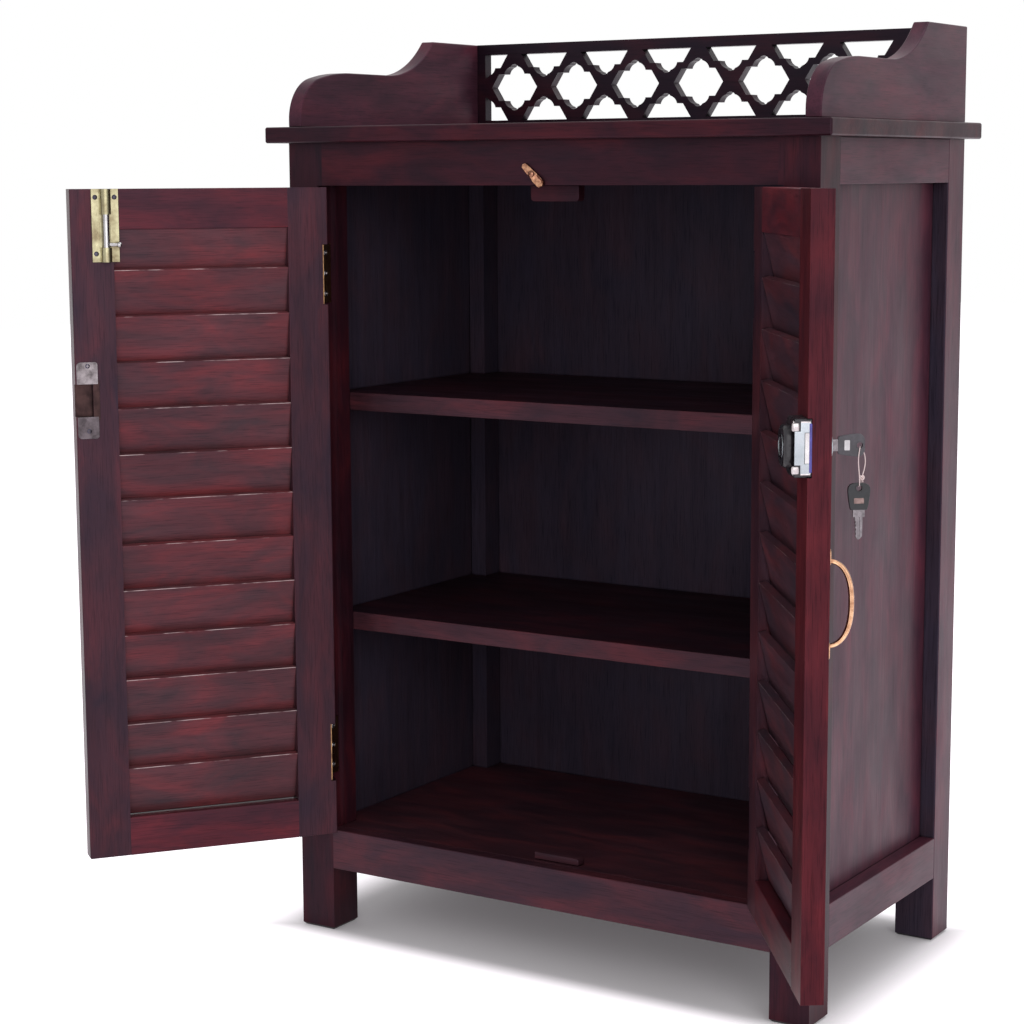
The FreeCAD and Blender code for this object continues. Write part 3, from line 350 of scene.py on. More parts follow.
def bridge(bm, rings, closed=True):
    """Faces between neighbouring rings; a ring of one point is a pole."""
    steps = max(len(ring) for ring in rings)
    for below, above in zip(rings, rings[1:]):
        for k in range(steps if closed else steps - 1):
            corners = (below[k % len(below)], below[(k + 1) % len(below)],
                       above[(k + 1) % len(above)], above[k % len(above)])
            bm.faces.new(list(dict.fromkeys(corners)))


def add_prism(bm, outline, place, low, high):
    """A flat outline with thickness along the third axis of its place."""
    rings = [[bm.verts.new(place @ Vector((u, v, w))) for u, v in outline] for w in (low, high)]
    bridge(bm, rings)
    bm.faces.new(rings[0])
    bm.faces.new(rings[1])


def add_lathe(bm, profile, place, steps=28):
    """A turned shape from a profile of radius and height."""
    rings = []
    for radius, height in profile:
        if radius == 0:
            rings.append([bm.verts.new(place @ Vector((0, 0, height)))])
            continue
        turns = [2 * math.pi * k / steps for k in range(steps)]
        rings.append([bm.verts.new(place @ Vector((radius * math.cos(t), radius * math.sin(t), height)))
                      for t in turns])
    bridge(bm, rings)


def add_tube(bm, stations, section):
    """A rod through stations, each a centre and two vectors that the section's points multiply."""
    rings = [[bm.verts.new(centre + first * u + second * v) for u, v in section]
             for centre, first, second in stations]
    bridge(bm, rings)
    bm.faces.new(rings[0])
    bm.faces.new(rings[-1])


def circle(steps=14):
    return [(math.cos(2 * math.pi * k / steps), math.sin(2 * math.pi * k / steps)) for k in range(steps)]


def rounded(low, high, radius, steps=5):
    """Outline of a rectangle with round corners; radius is one number or one for each corner."""
    radii = radius if isinstance(radius, tuple) else (radius,) * 4
    points = []
    for index, r in enumerate(radii):
        right, top = index in (1, 2), index in (2, 3)
        centre = (high[0] - r if right else low[0] + r, high[1] - r if top else low[1] + r)
        start = math.radians(180 + 90 * index)
        for k in range(steps + 1):
            turn = start + math.radians(90) * k / steps
            points.append((centre[0] + r * math.cos(turn), centre[1] + r * math.sin(turn)))
    return points


def ease(bm, radius, segments=2, angle=ROUND_FROM):
    """Round the convex edges of a shape."""
    bmesh.ops.recalc_face_normals(bm, faces=bm.faces)
    sharp = [edge for edge in bm.edges if len(edge.link_faces) == 2 and edge.is_convex
             and edge.calc_face_angle(0.0) > math.radians(angle)]
    bmesh.ops.bevel(bm, geom=sharp, offset=radius, segments=segments, profile=0.5, affect="EDGES",
                    clamp_overlap=True)


def carve(bm, cutter):
    """Take the cutter's volume out of a shape."""
    pair = []
    for name, source in (("carved", bm), ("cutter", cutter)):
        bmesh.ops.recalc_face_normals(source, faces=source.faces)
        mesh = bpy.data.meshes.new(name)
        source.to_mesh(mesh)
        pair.append(bpy.data.objects.new(name, mesh))
        scene.collection.objects.link(pair[-1])
    cut = pair[0].modifiers.new("cut", "BOOLEAN")
    cut.operation = "DIFFERENCE"
    cut.solver = "EXACT"
    cut.object = pair[1]
    bpy.context.view_layer.update()
    result = bpy.data.meshes.new_from_object(pair[0].evaluated_get(bpy.context.evaluated_depsgraph_get()))
    bm.clear()
    bm.from_mesh(result)
    meshes = [obj.data for obj in pair] + [result]
    for obj in pair:
        bpy.data.objects.remove(obj)
    for mesh in meshes:
        bpy.data.meshes.remove(mesh)
    cutter.free()


def add_copy(bm, source, place):
    """Add a transformed copy of another shape."""
    mesh = bpy.data.meshes.new("copy")
    source.to_mesh(mesh)
    mesh.transform(place)
    bm.from_mesh(mesh)
    bpy.data.meshes.remove(mesh)


def add_eased(bm, part, radius, segments=2):
    """Round the edges of a shape, then move it into another one."""
    ease(part, radius, segments)
    add_copy(bm, part, Matrix.Identity(4))
    part.free()


def new_object(name, data, matrix, body, material):
    obj = bpy.data.objects.new(name, data)
    scene.collection.objects.link(obj)
    obj.matrix_world = matrix
    obj.data.materials.clear()
    obj.data.materials.append(material)
    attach(obj, body)
    return obj


def make_piece(name, bm, matrix, carrier, material, slot, *stands_for):
    """An object from a shape in metres, riding with a node and standing for the nodes named last."""
    bmesh.ops.recalc_face_normals(bm, faces=bm.faces)
    for face in bm.faces:
        face.smooth = True
    mesh = bpy.data.meshes.new(name)
    bm.to_mesh(mesh)
    bm.free()
    mesh.set_sharp_from_angle(angle=math.radians(SHARP_FROM))
    obj = new_object(name, mesh, matrix, BODY_OF[carrier], material)
    normals = obj.modifiers.new("even_normals", "WEIGHTED_NORMAL")
    normals.keep_sharp = True
    if stands_for:
        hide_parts(*stands_for)
    return obj


def fitting(name, bm, side, carrier, material, *stands_for):
    """A piece of hardware from a shape in millimetres, in a door's frame or the case's."""
    bm.transform(Matrix.Scale(MM, 4))
    matrix = DOOR[side] if side else CASE
    return make_piece(name, bm, matrix, carrier, material, SLOT_OF[carrier], *stands_for)


# Wood

# Posts are rounded at edges beyond an x, stiles at edges within a margin of the door's sides
POST_ROUND_X, STILE_MARGIN = 276.0, 20.0
# Faces behind this y can look into the case
CASE_INSIDE_Y = -155.0


def edge_rule(rule, axis):
    """Which edges of a board are rounded: all, those along the grain, or a post's or stile's outer ones."""
    index = "xyz".index(axis)

    def along(edge):
        run = edge.verts[1].co - edge.verts[0].co
        return abs(run[index]) > 0.99 * run.length

    def middle(edge):
        return (edge.verts[0].co + edge.verts[1].co) / (2 * MM)

    def at_side(edge):
        return not STILE_MARGIN < abs(middle(edge).x) < MEETING_EDGE - STILE_MARGIN

    if rule == "grain":
        return along
    if rule == "post":
        return lambda edge: abs(middle(edge).x) > POST_ROUND_X if along(edge) else middle(edge).z < 1
    if rule == "stile":
        return lambda edge: at_side(edge) if along(edge) else not DOOR_LOW < middle(edge).z < DOOR_HIGH
    return lambda edge: True


def looks_into_case(face):
    inwards = face.normal.x * face.center.x < -0.5 * abs(face.center.x) or face.normal.y < -0.5
    return inwards and face.center.y > CASE_INSIDE_Y * MM


def looks_up(face):
    return face.normal.z > 0.9


def in_strike_recess(face):
    low, high = STRIKE_RECESS
    return all(low[i] < face.center[i] / MM < high[i] for i in range(3))


def below_lock(face):
    return face.center.z < LOCK_HEIGHT * MM


def second_finish(piece, material, wanted):
    """Give some faces of a piece their own finish."""
    piece.data.materials.append(material)
    for face in piece.data.polygons:
        face.material_index = 1 if wanted(face) else 0


def rounded_copy(node, suffix, matrix, material, radius, rule="all", axis="x", segments=3):
    """A copy of a node's solid with eased edges, which stands for the node."""
    bm = bmesh.new()
    bm.from_mesh(NODES[node].data)
    bm.transform(matrix.inverted())
    bmesh.ops.remove_doubles(bm, verts=bm.verts, dist=WELD_DISTANCE)
    bmesh.ops.dissolve_limit(bm, angle_limit=math.radians(MERGE_TO), verts=bm.verts, edges=bm.edges)
    bmesh.ops.recalc_face_normals(bm, faces=bm.faces)
    wanted = edge_rule(rule, axis)
    sharp = [edge for edge in bm.edges
             if len(edge.link_faces) == 2 and edge.is_convex
             and edge.calc_face_angle(0.0) > math.radians(ROUND_FROM) and wanted(edge)]
    if sharp:
        bmesh.ops.bevel(bm, geom=sharp, offset=radius * MM, segments=segments, profile=0.5, affect="EDGES",
                        clamp_overlap=True, loop_slide=True)
    return make_piece(node + suffix, bm, matrix, node, material, SLOT_OF[node], node)


# Boards of the case: node, grain axis, finish, edge radius, which edges
CASE_WOOD = [
    ("front_left_post", "z", "case", 1.6, "post"), ("front_right_post", "z", "case", 1.6, "post"),
    ("rear_left_post", "z", "side", 1.6, "post"), ("rear_right_post", "z", "side", 1.6, "post"),
    ("left_side_top_rail", "y", "side", 0.8, "grain"), ("right_side_top_rail", "y", "side", 0.8, "grain"),
    ("left_side_bottom_rail", "y", "side", 0.8, "grain"),
    ("right_side_bottom_rail", "y", "side", 0.8, "grain"),
    ("front_top_rail", "x", "case", 1.0, "grain"), ("front_bottom_rail", "x", "stile", 1.2, "grain"),
    ("rear_top_rail", "x", "case", 0.8, "grain"), ("rear_bottom_rail", "x", "case", 0.8, "grain"),
    ("top_board", "x", "case", 1.0, "all"), ("gallery_fretwork", "x", "fret", 0.7, "all"),
    ("left_gallery_bracket", "y", "side", 1.4, "all"), ("right_gallery_bracket", "y", "side", 1.4, "all"),
    ("top_door_stop", "x", "case", 0.8, "all"), ("bottom_door_stop", "x", "shelf", 1.2, "all"),
    ("left_side_panel", "z", "side", 0.3, "all"), ("right_side_panel", "z", "side", 0.3, "all"),
    ("back_panel", "z", "side", 0.3, "all"), ("floor_board", "x", "shelf", 0.3, "all"),
    ("lower_shelf", "x", "shelf", 1.0, "all"), ("upper_shelf", "x", "shelf", 1.0, "all"),
]
DOOR_WOOD = [
    ("hinge_stile", "z", "stile", 1.5, "stile"), ("meeting_stile", "z", "stile", 1.8, "stile"),
    ("top_rail", "x", "rail", 1.5, "grain"), ("bottom_rail", "x", "rail", 1.5, "grain"),
    ("slats", "x", "slat", 1.0, "all"),
]
# Boards of the right door that the photo shows darker or redder
RIGHT_DOOR_FINISH = {"meeting_stile": "edge", "slats": "shaded_slat"}
for node, axis, finish, radius, rule in CASE_WOOD:
    board = rounded_copy(node, "_wood", CASE, wood(finish, axis), radius, rule, axis)
    # Faces that look into the case take a darker finish: painted shade
    if node.startswith("rear_") or "_side_" in node or node == "back_panel":
        second_finish(board, wood("inside_shade", axis), looks_into_case)
    # The shelves' tops take a darker finish: painted shade
    elif node.endswith("_shelf"):
        second_finish(board, wood("shelf_top_shade", axis), looks_up)
for side in ("left", "right"):
    for name, axis, finish, radius, rule in DOOR_WOOD:
        if side == "right":
            finish = RIGHT_DOOR_FINISH.get(name, finish)
        node = "%s_door_%s" % (side, name)
        board = rounded_copy(node, "_wood", DOOR[side], wood(finish, axis), radius, rule, axis)
        if (side, name) == ("left", "meeting_stile"):
            second_finish(board, BROWN_STEEL, in_strike_recess)


# Screws and hinges

def screw_shape(radius, dome, length=3.0):
    """Head with a cross recess on the start of its shank; the head faces the third axis."""
    bm = bmesh.new()
    head = ((0, dome), (0.4 * radius, 0.9 * dome), (0.75 * radius, 0.55 * dome), (0.95 * radius, 0.12 * dome),
            (radius, -0.15), (0.9 * radius, -0.35), (0.5 * radius, -0.5 * radius))
    add_lathe(bm, (*head, (0.5 * radius, -length), (0, -length)), ALONG_Z, 24)
    for across in ((0.62, 0.17), (0.17, 0.62)):
        cutter = bmesh.new()
        half = (across[0] * radius, across[1] * radius)
        add_box(cutter, (-half[0], -half[1], dome - 0.5 - 0.25 * radius), (half[0], half[1], dome + 1))
        carve(bm, cutter)
    return bm


def screws_at(name, side, node, shape, places, material):
    bm = bmesh.new()
    for place in places:
        add_copy(bm, shape, place)
    fitting(name, bm, side, node, material, node)


hinge_screw = screw_shape(3.0, 0.25)
fitting_screw = screw_shape(2.6, 0.9)
HINGE_CENTRES, SCREW_STEP = (211.5, 736.5), 22
HINGE_LEVELS = [centre + step for centre in HINGE_CENTRES for step in (-SCREW_STEP, 0, SCREW_STEP)]
DOOR_SCREW, FRAME_SCREW = (1.9, 12.4), (275.1, -170.1)
frame_places = []
for side, sign in (("left", 1), ("right", -1)):
    facing = Matrix.Scale(sign, 4, (1, 0, 0)) @ ALONG_X
    away = Matrix.Scale(-1, 4, (1, 0, 0)) @ facing
    door_places = [Matrix.Translation((sign * DOOR_SCREW[0], DOOR_SCREW[1], z)) @ away for z in HINGE_LEVELS]
    screws = side + "_door_hinge_screw"
    screws_at(screws + "_heads", side, screws + "s", hinge_screw, door_places, STEEL)
    frame_places += [Matrix.Translation((-sign * FRAME_SCREW[0], FRAME_SCREW[1], z)) @ facing
                     for z in HINGE_LEVELS]
    for part in ("frame", "door"):
        node = "%s_hinge_%s_leaves" % (side, part)
        matrix = CASE if part == "frame" else DOOR[side]
        rounded_copy(node, "_eased", matrix, HINGE_BRASS, 0.3, segments=2)
screws_at("frame_hinge_screw_heads", "", "frame_hinge_screws", hinge_screw, frame_places, STEEL)
FITTING_PLACES = [(226, 820.5), (246, 820.5), (246, 762.5), (259, 579), (259, 647)]
FITTING_FACE = 24.6
screws_at("left_door_fitting_screw_heads", "left", "left_door_fitting_screws", fitting_screw,
          [Matrix.Translation((x, FITTING_FACE, z)) @ ALONG_Y for x, z in FITTING_PLACES], DARK_STEEL)
hinge_screw.free()
fitting_screw.free()


def paint(material, *names):
    """Give carried-over solids their finished material."""
    for name in names:
        NODES[name].data.materials.clear()
        NODES[name].data.materials.append(material)


paint(STEEL, "left_hinge_pins", "right_hinge_pins", "lock_bolt")
paint(CHROME, "lock_plug")


# Tower bolt and strike plate

ROD_X, ROD_Y, ROD_RADIUS = 236.0, 28.9, 3.5
ROD_LOW, ROD_HIGH, KNOB_Z = 759.0, DOOR_HIGH, 771.9
# Radius and distance from the rod's axis
KNOB_PROFILE = ((0, 0), (2.3, 0), (2.1, 6.0), (1.7, 10.4), (2.2, 11.0), (2.7, 11.8), (3.0, 13.2),
                (2.7, 14.6), (1.8, 15.6), (0, 16.0))
STRIKE_X, STRIKE_FACE = (248.5, 270.6), 24.7
# Distances of the strike's two tabs from the lock's height
STRIKE_NEAR, STRIKE_FAR = 17.0, 40.0
STRIKE_LIP_X, STRIKE_LIP_Y, STRIKE_LIP = (250.5, 269.4), (20.6, 24.2), 1.1
SPINE_X, SPINE_HALF, SPINE_FACE = (247.0, 253.8), 21.0, 24.4


def make_tower_bolt():
    """Eased plate, and a rod with chamfered ends and a turned knob."""
    rounded_copy("bolt_plate", "_eased", DOOR["left"], PALE_BRASS, 0.35, segments=2)
    bm = bmesh.new()
    rod = ((0, ROD_LOW), (ROD_RADIUS - 0.6, ROD_LOW), (ROD_RADIUS, ROD_LOW + 0.7),
           (ROD_RADIUS, ROD_HIGH - 1.0), (ROD_RADIUS - 0.9, ROD_HIGH), (0, ROD_HIGH))
    add_lathe(bm, rod, Matrix.Translation((ROD_X, ROD_Y, 0)))
    outwards = Matrix.Scale(-1, 4, (1, 0, 0)) @ ALONG_X
    add_lathe(bm, KNOB_PROFILE, Matrix.Translation((ROD_X, ROD_Y, KNOB_Z)) @ outwards, 20)
    fitting("bolt_rod_with_knob", bm, "left", "bolt_rod", STEEL, "bolt_rod")


def make_strike():
    """Zinc tabs above and below the bolt's recess, each with a lip bent into it, and a brown spine; the lower
    tab is darker zinc, painted shade.
    """
    bm = bmesh.new()
    for sign, corners in ((1, (0.6, 0.6, 4.0, 3.0)), (-1, (3.0, 4.0, 0.6, 0.6))):
        low, high = sorted(LOCK_HEIGHT + sign * reach for reach in (STRIKE_NEAR, STRIKE_FAR))
        outline = rounded((STRIKE_X[0], low), (STRIKE_X[1], high), corners)
        add_prism(bm, outline, ALONG_Y, INNER_FACE, STRIKE_FACE)
        low, high = sorted(LOCK_HEIGHT + sign * reach for reach in (STRIKE_NEAR, STRIKE_NEAR + STRIKE_LIP))
        add_box(bm, (STRIKE_LIP_X[0], STRIKE_LIP_Y[0], low), (STRIKE_LIP_X[1], STRIKE_LIP_Y[1], high))
    ease(bm, 0.35)
    plate = fitting("strike_plate_bent", bm, "left", "strike_plate", ZINC, "strike_plate")
    # Painted shade: the tab below the lock takes the darker zinc
    second_finish(plate, SHADED_ZINC, below_lock)
    spine = bmesh.new()
    outline = rounded((SPINE_X[0], LOCK_HEIGHT - SPINE_HALF), (SPINE_X[1], LOCK_HEIGHT + SPINE_HALF), 1.2)
    add_prism(spine, outline, ALONG_Y, INNER_FACE, SPINE_FACE)
    ease(spine, 0.35)
    fitting("strike_plate_spine", spine, "left", "strike_plate", BROWN_STEEL)


make_tower_bolt()
make_strike()


# Handles

HANDLE_X, HANDLE_Z, HALF_BOW, BOW_RISE = 255.0, 474.0, 37.5, 22.3
# Powers of the bow's squarish half ellipse and of its slope
BOW_POWER, SLOPE_POWER, BOW_STEPS = 0.84, 1.38, 40
FLUTE_DEPTH, FLUTE_WIDTH = 0.30, 0.38
FOOT_HALF_WIDTH, FOOT_FACE = 5.4, -0.9
# Low end, high end and screw of each foot
HANDLE_FEET = ((425.0, 440.5, 429.5), (507.5, 522.5, 518.0))


def powered(value, power):
    return math.copysign(abs(value) ** power, value)


def make_handle(side, sign):
    """Bent brass bow with a flute along each flank, on two rounded feet held by screws."""
    centre = sign * HANDLE_X
    section = [(u, v * (1 - FLUTE_DEPTH * math.exp(-(u / FLUTE_WIDTH) ** 2))) for u, v in circle(20)]
    stations = []
    for k in range(BOW_STEPS + 1):
        turn = math.pi * k / BOW_STEPS
        swell = math.sin(turn)
        depth, span = powered(swell, BOW_POWER), powered(math.cos(turn), BOW_POWER)
        point = Vector((centre, OUTER_FACE - BOW_RISE * depth, HANDLE_Z - HALF_BOW * span))
        slope = Vector((0, -powered(depth, SLOPE_POWER) / BOW_RISE, -powered(span, SLOPE_POWER) / HALF_BOW))
        half_depth, half_width = 1.85 + 0.65 * swell, 2.3 + 0.7 * swell
        stations.append((point, slope.normalized() * half_depth, Vector((half_width, 0, 0))))
    bm = bmesh.new()
    add_tube(bm, stations, section)
    head = screw_shape(2.0, 0.7, 1.0)
    outwards = Matrix.Scale(-1, 4, (0, 1, 0)) @ ALONG_Y
    for low, high, screw in HANDLE_FEET:
        foot = bmesh.new()
        outline = rounded((centre - FOOT_HALF_WIDTH, low), (centre + FOOT_HALF_WIDTH, high), 4.2)
        add_prism(foot, outline, ALONG_Y, FOOT_FACE, OUTER_FACE)
        add_eased(bm, foot, 0.9, 3)
        add_copy(bm, head, Matrix.Translation((centre, FOOT_FACE, screw)) @ outwards)
    head.free()
    fitting(side + "_handle_bow", bm, side, side + "_handle", COPPER, side + "_handle")


make_handle("left", 1)
make_handle("right", -1)


# Lock and keys

LOCK_FACE, LOCK_BACK, LOCK_HALF, LOCK_Y = -271.5, -229.7, 25.3, (19.6, 34.3)
CAP_X, CAP_HALF, CAP_Y = -250.5, (15.7, 18.7), (33.5, 42.6)
# Radius of the cap's ring and distance inwards
RING_PROFILE = ((8.6, 42.3), (8.6, 42.9), (9.1, 43.2), (9.9, 43.2), (10.4, 42.9), (10.4, 42.3))
BOLT_Y, BOLT_HALF, BOLT_ROOM_END = (20.2, 25.8), 13.3, -241.0
PLATE_THICKNESS = 1.2
# Half the face plate's outline: distance inwards and distance from the lock's height
PLATE_SIDE = ((20.4, 22.0), (29.4, 22.0), (29.4, 14.5), (34.6, 14.5))
# Tabs and the folds behind them: low and high ends from the lock's height
PLATE_TABS = (((14.0, 23.5), (14.0, 21.9)), ((-23.5, -15.0), (-22.6, -15.0)))
TAB_X, TAB_Y, FOLD_X, FOLD_Y = (2.2, 11.5), (34.2, 35.6), (-0.1, 4.0), (29.9, 37.0)
PLATE_LIPS, PLATE_LIP_DEPTH = ((21.4, 23.2), (-23.2, -21.4)), 7.0
FILM_Y, FILM_ENDS = (19.6, 21.9), (-21.0, 21.2)


def about(u, v, half):
    """Low and high corners of a rectangle about its centre."""
    return (u - half[0], v - half[1]), (u + half[0], v + half[1])


def cut_bolt_slot(bm, end):
    """Open the lock for its bolt, from in front of the face plate."""
    slot = bmesh.new()
    low, high = LOCK_HEIGHT - BOLT_HALF, LOCK_HEIGHT + BOLT_HALF
    add_box(slot, (LOCK_FACE - 2, BOLT_Y[0], low), (end, BOLT_Y[1], high))
    carve(bm, slot)


def make_lock_body():
    """Black body with a domed cap and a chrome ring on it."""
    bm = bmesh.new()
    low, high = (LOCK_FACE + 1.0, LOCK_HEIGHT - LOCK_HALF), (LOCK_BACK, LOCK_HEIGHT + LOCK_HALF)
    add_prism(bm, rounded(low, high, (1.5, 12, 12, 1.5), 7), ALONG_Y, *LOCK_Y)
    cut_bolt_slot(bm, BOLT_ROOM_END)
    ease(bm, 1.2, 3)
    cap = bmesh.new()
    add_prism(cap, rounded(*about(CAP_X, LOCK_HEIGHT, CAP_HALF), 12, 8), ALONG_Y, *CAP_Y)
    add_eased(bm, cap, 3.6, 5)
    fitting("lock_body", bm, "right", "lock_case", LOCK_BLACK, "lock_case")
    ring = bmesh.new()
    add_lathe(ring, RING_PROFILE, Matrix.Translation((CAP_X, 0, LOCK_HEIGHT)) @ ALONG_Y, 40)
    fitting("lock_cap_ring", ring, "right", "lock_case", CHROME)


def make_lock_plate():
    """Chrome plate round the bolt's opening, its folded tabs and lips, and a strip of film left on it."""
    plate = bmesh.new()
    outline = [(y, LOCK_HEIGHT - half) for y, half in PLATE_SIDE]
    outline += [(y, LOCK_HEIGHT + half) for y, half in reversed(PLATE_SIDE)]
    add_prism(plate, outline, ALONG_X, LOCK_FACE, LOCK_FACE + PLATE_THICKNESS)
    cut_bolt_slot(plate, LOCK_FACE + 4)
    ease(plate, 0.35)
    fitting("lock_face_plate", plate, "right", "lock_case", CHROME)
    tabs = bmesh.new()
    for tab_ends, fold_ends in PLATE_TABS:
        tab = bmesh.new()
        low, high = ((LOCK_FACE + x, LOCK_HEIGHT + z) for x, z in zip(TAB_X, tab_ends))
        add_prism(tab, rounded(low, high, 1.6), ALONG_Y, *TAB_Y)
        add_eased(tabs, tab, 0.45)
        fold = bmesh.new()
        low, high = ((LOCK_FACE + x, y, LOCK_HEIGHT + z) for x, y, z in zip(FOLD_X, FOLD_Y, fold_ends))
        add_box(fold, low, high)
        add_eased(tabs, fold, 1.9, 4)
    for low, high in PLATE_LIPS:
        lip = bmesh.new()
        add_box(lip, (LOCK_FACE, PLATE_SIDE[0][0], LOCK_HEIGHT + low),
                (LOCK_FACE + PLATE_LIP_DEPTH, PLATE_SIDE[1][0], LOCK_HEIGHT + high))
        add_eased(tabs, lip, 0.7, 3)
    fitting("lock_plate_tabs", tabs, "right", "lock_case", BRIGHT_CHROME)
    film = bmesh.new()
    low, high = ((y, LOCK_HEIGHT + z) for y, z in zip(FILM_Y, FILM_ENDS))
    add_prism(film, rounded(low, high, 0.8), ALONG_X, LOCK_FACE - 0.12, LOCK_FACE + 0.4)
    fitting("lock_edge_film", film, "right", "lock_case", FILM)


# Half outlines of a key's head and blade: distance from their meeting line and half width
HEAD_SIDE = [(0, 6.6), (0.5, 7.5), (5, 8.5), (12, 9.5), (17, 9.95), (20, 9.5), (22, 8.0), (23.2, 5.4),
             (23.5, 2.0)]
BLADE_SIDE = [(-1.4, 3.5), (2.6, 3.5), (4.0, 2.5), (5.4, 3.4), (7.2, 2.2), (8.9, 3.2), (10.6, 2.0),
              (12.3, 3.0), (14.4, 2.1), (16.2, 2.8), (18.4, 1.9), (19.6, 0.5)]
BLADE_BACK = [(18.8, -1.4), (16.5, -3.3), (-1.4, -3.5)]
HEAD_HALF, BLADE_HALF, COLLAR_HALF = 1.5, 1.0, 1.25
EYE_AT, EYE_RADIUS = 19.0, 2.6
# Radius and height of the rim round the eye
RIM_PROFILE = ((2.6, 1.2), (2.6, 1.75), (2.9, 1.85), (3.3, 1.75), (3.5, 1.4), (3.5, 1.2))
INSET_AT, INSET_HALF, INSET_LEVEL, LABEL_HALF = 8.0, (2.6, 4.6), 1.2, (2.4, 4.4)
LABEL_LEVELS, GROOVE_LEVEL = (1.15, 1.45), 0.55
KEY_HEAD_Y, SPARE_KEY_Z = -6.7, 554.8


def key_head_shape():
    """Moulded head along the first axis from the blade to the eye, with a rim at the eye and a bare inset."""
    bm = bmesh.new()
    outline = [(u, -v) for u, v in HEAD_SIDE] + HEAD_SIDE[::-1]
    add_prism(bm, outline, ALONG_Z, -HEAD_HALF, HEAD_HALF)
    ease(bm, 0.6, 3)
    for low, high in ((-3, -INSET_LEVEL), (INSET_LEVEL, 3)):
        inset = bmesh.new()
        add_prism(inset, rounded(*about(INSET_AT, 0, INSET_HALF), 0.9), ALONG_Z, low, high)
        carve(bm, inset)
    at_eye = Matrix.Translation((EYE_AT, 0, 0))
    eye = bmesh.new()
    add_lathe(eye, ((0, -4), (EYE_RADIUS, -4), (EYE_RADIUS, 4), (0, 4)), at_eye)
    carve(bm, eye)
    for sign in (1, -1):
        add_lathe(bm, [(radius, sign * height) for radius, height in RIM_PROFILE], at_eye)
    return bm


def key_label_shape():
    """Plain plates that fill the head's insets."""
    bm = bmesh.new()
    near, far = LABEL_LEVELS
    for low, high in ((-far, -near), (near, far)):
        add_prism(bm, rounded(*about(INSET_AT, 0, LABEL_HALF), 0.8), ALONG_Z, low, high)
    ease(bm, 0.1)
    return bm


def key_blade_shape(shoulder):
    """Blade along the negative first axis from the head, with a shoulder, teeth and a groove on each face."""
    bm = bmesh.new()
    outline = [(-u - shoulder, v) for u, v in BLADE_SIDE + BLADE_BACK]
    add_prism(bm, outline, ALONG_Z, -BLADE_HALF, BLADE_HALF)
    for low, high in ((-3, -GROOVE_LEVEL), (GROOVE_LEVEL, 3)):
        groove = bmesh.new()
        add_box(groove, (-17.5 - shoulder, -0.8, low), (0.2 - shoulder, 0.5, high))
        carve(bm, groove)
    collar = bmesh.new()
    add_prism(collar, rounded((-shoulder, -5.2), (1.0, 5.2), 0.6), ALONG_Z, -COLLAR_HALF, COLLAR_HALF)
    add_eased(bm, collar, 0.35)
    ease(bm, 0.15, 1, 60)
    return bm


def make_key(prefix, place, head_finish, label_finish, shoulder):
    """A key's head, label and blade at a place in the right door's frame."""
    head, blade = prefix + "key_head", prefix + "key_blade"
    shapes = ((head + "_moulded", key_head_shape(), head, head_finish, (head,)),
              (head + "_plain_label", key_label_shape(), head, label_finish, ()),
              (blade + "_cut", key_blade_shape(shoulder), blade, KEY_STEEL, (blade,)))
    made = []
    for name, bm, carrier, material, stands_for in shapes:
        bm.transform(place)
        made.append(fitting(name, bm, "right", carrier, material, *stands_for))
    return made


make_lock_body()
make_lock_plate()
rounded_copy("lock_barrel", "_eased", DOOR["right"], CHROME, 0.7)
# The first key's head points out of the lock, and the spare key's hangs by its eye
towards_front = Matrix(((0, 0, 1, 0), (-1, 0, 0, 0), (0, 1, 0, 0), (0, 0, 0, 1)))
hanging = Matrix(((0, 0, 1, 0), (0, 1, 0, 0), (1, 0, 0, 0), (0, 0, 0, 1)))
make_key("", Matrix.Translation((KEY_X, KEY_HEAD_Y, LOCK_HEIGHT)) @ towards_front,
         GREY_PLASTIC, SATIN_LABEL, 5.0)
SPARE_KEY = make_key("spare_", Matrix.Translation((KEY_X, EYE_Y, SPARE_KEY_Z)) @ hanging,
                     BLACK_PLASTIC, ROSE_LABEL, 6.2)


# Thread between the keys: the solid's loop about the first key's eye, its strands bulged to one side

THREAD_ROUTE = [
    (3.3, -3.0, -29.0), (3.6, -5.4, -21.5), (3.3, -6.2, -14.0), (2.6, -4.8, -6.6), (2.4, -0.6, -1.6),
    (-2.4, 0.0, -1.6), (-2.6, 1.0, -6.6), (-3.3, 1.6, -14.0), (-3.7, 1.0, -21.5), (-3.3, 0.2, -29.0),
    (-2.4, 0.0, -35.6), (2.4, 0.0, -35.6), (3.2, -1.8, -31.0),
]
THREAD_RADIUS = 0.45
KNOT_STEPS, KNOT_RADIUS, KNOT_SCALE = 60, 0.55, 1.2
KNOT_TAILS = (((0.2, 0.1, -1.0), (0.9, 0.3, -2.4), (1.3, 0.2, -3.3)),
              ((-0.2, -0.1, -1.0), (-0.3, -0.6, -2.2), (-0.9, -0.7, -3.0)))


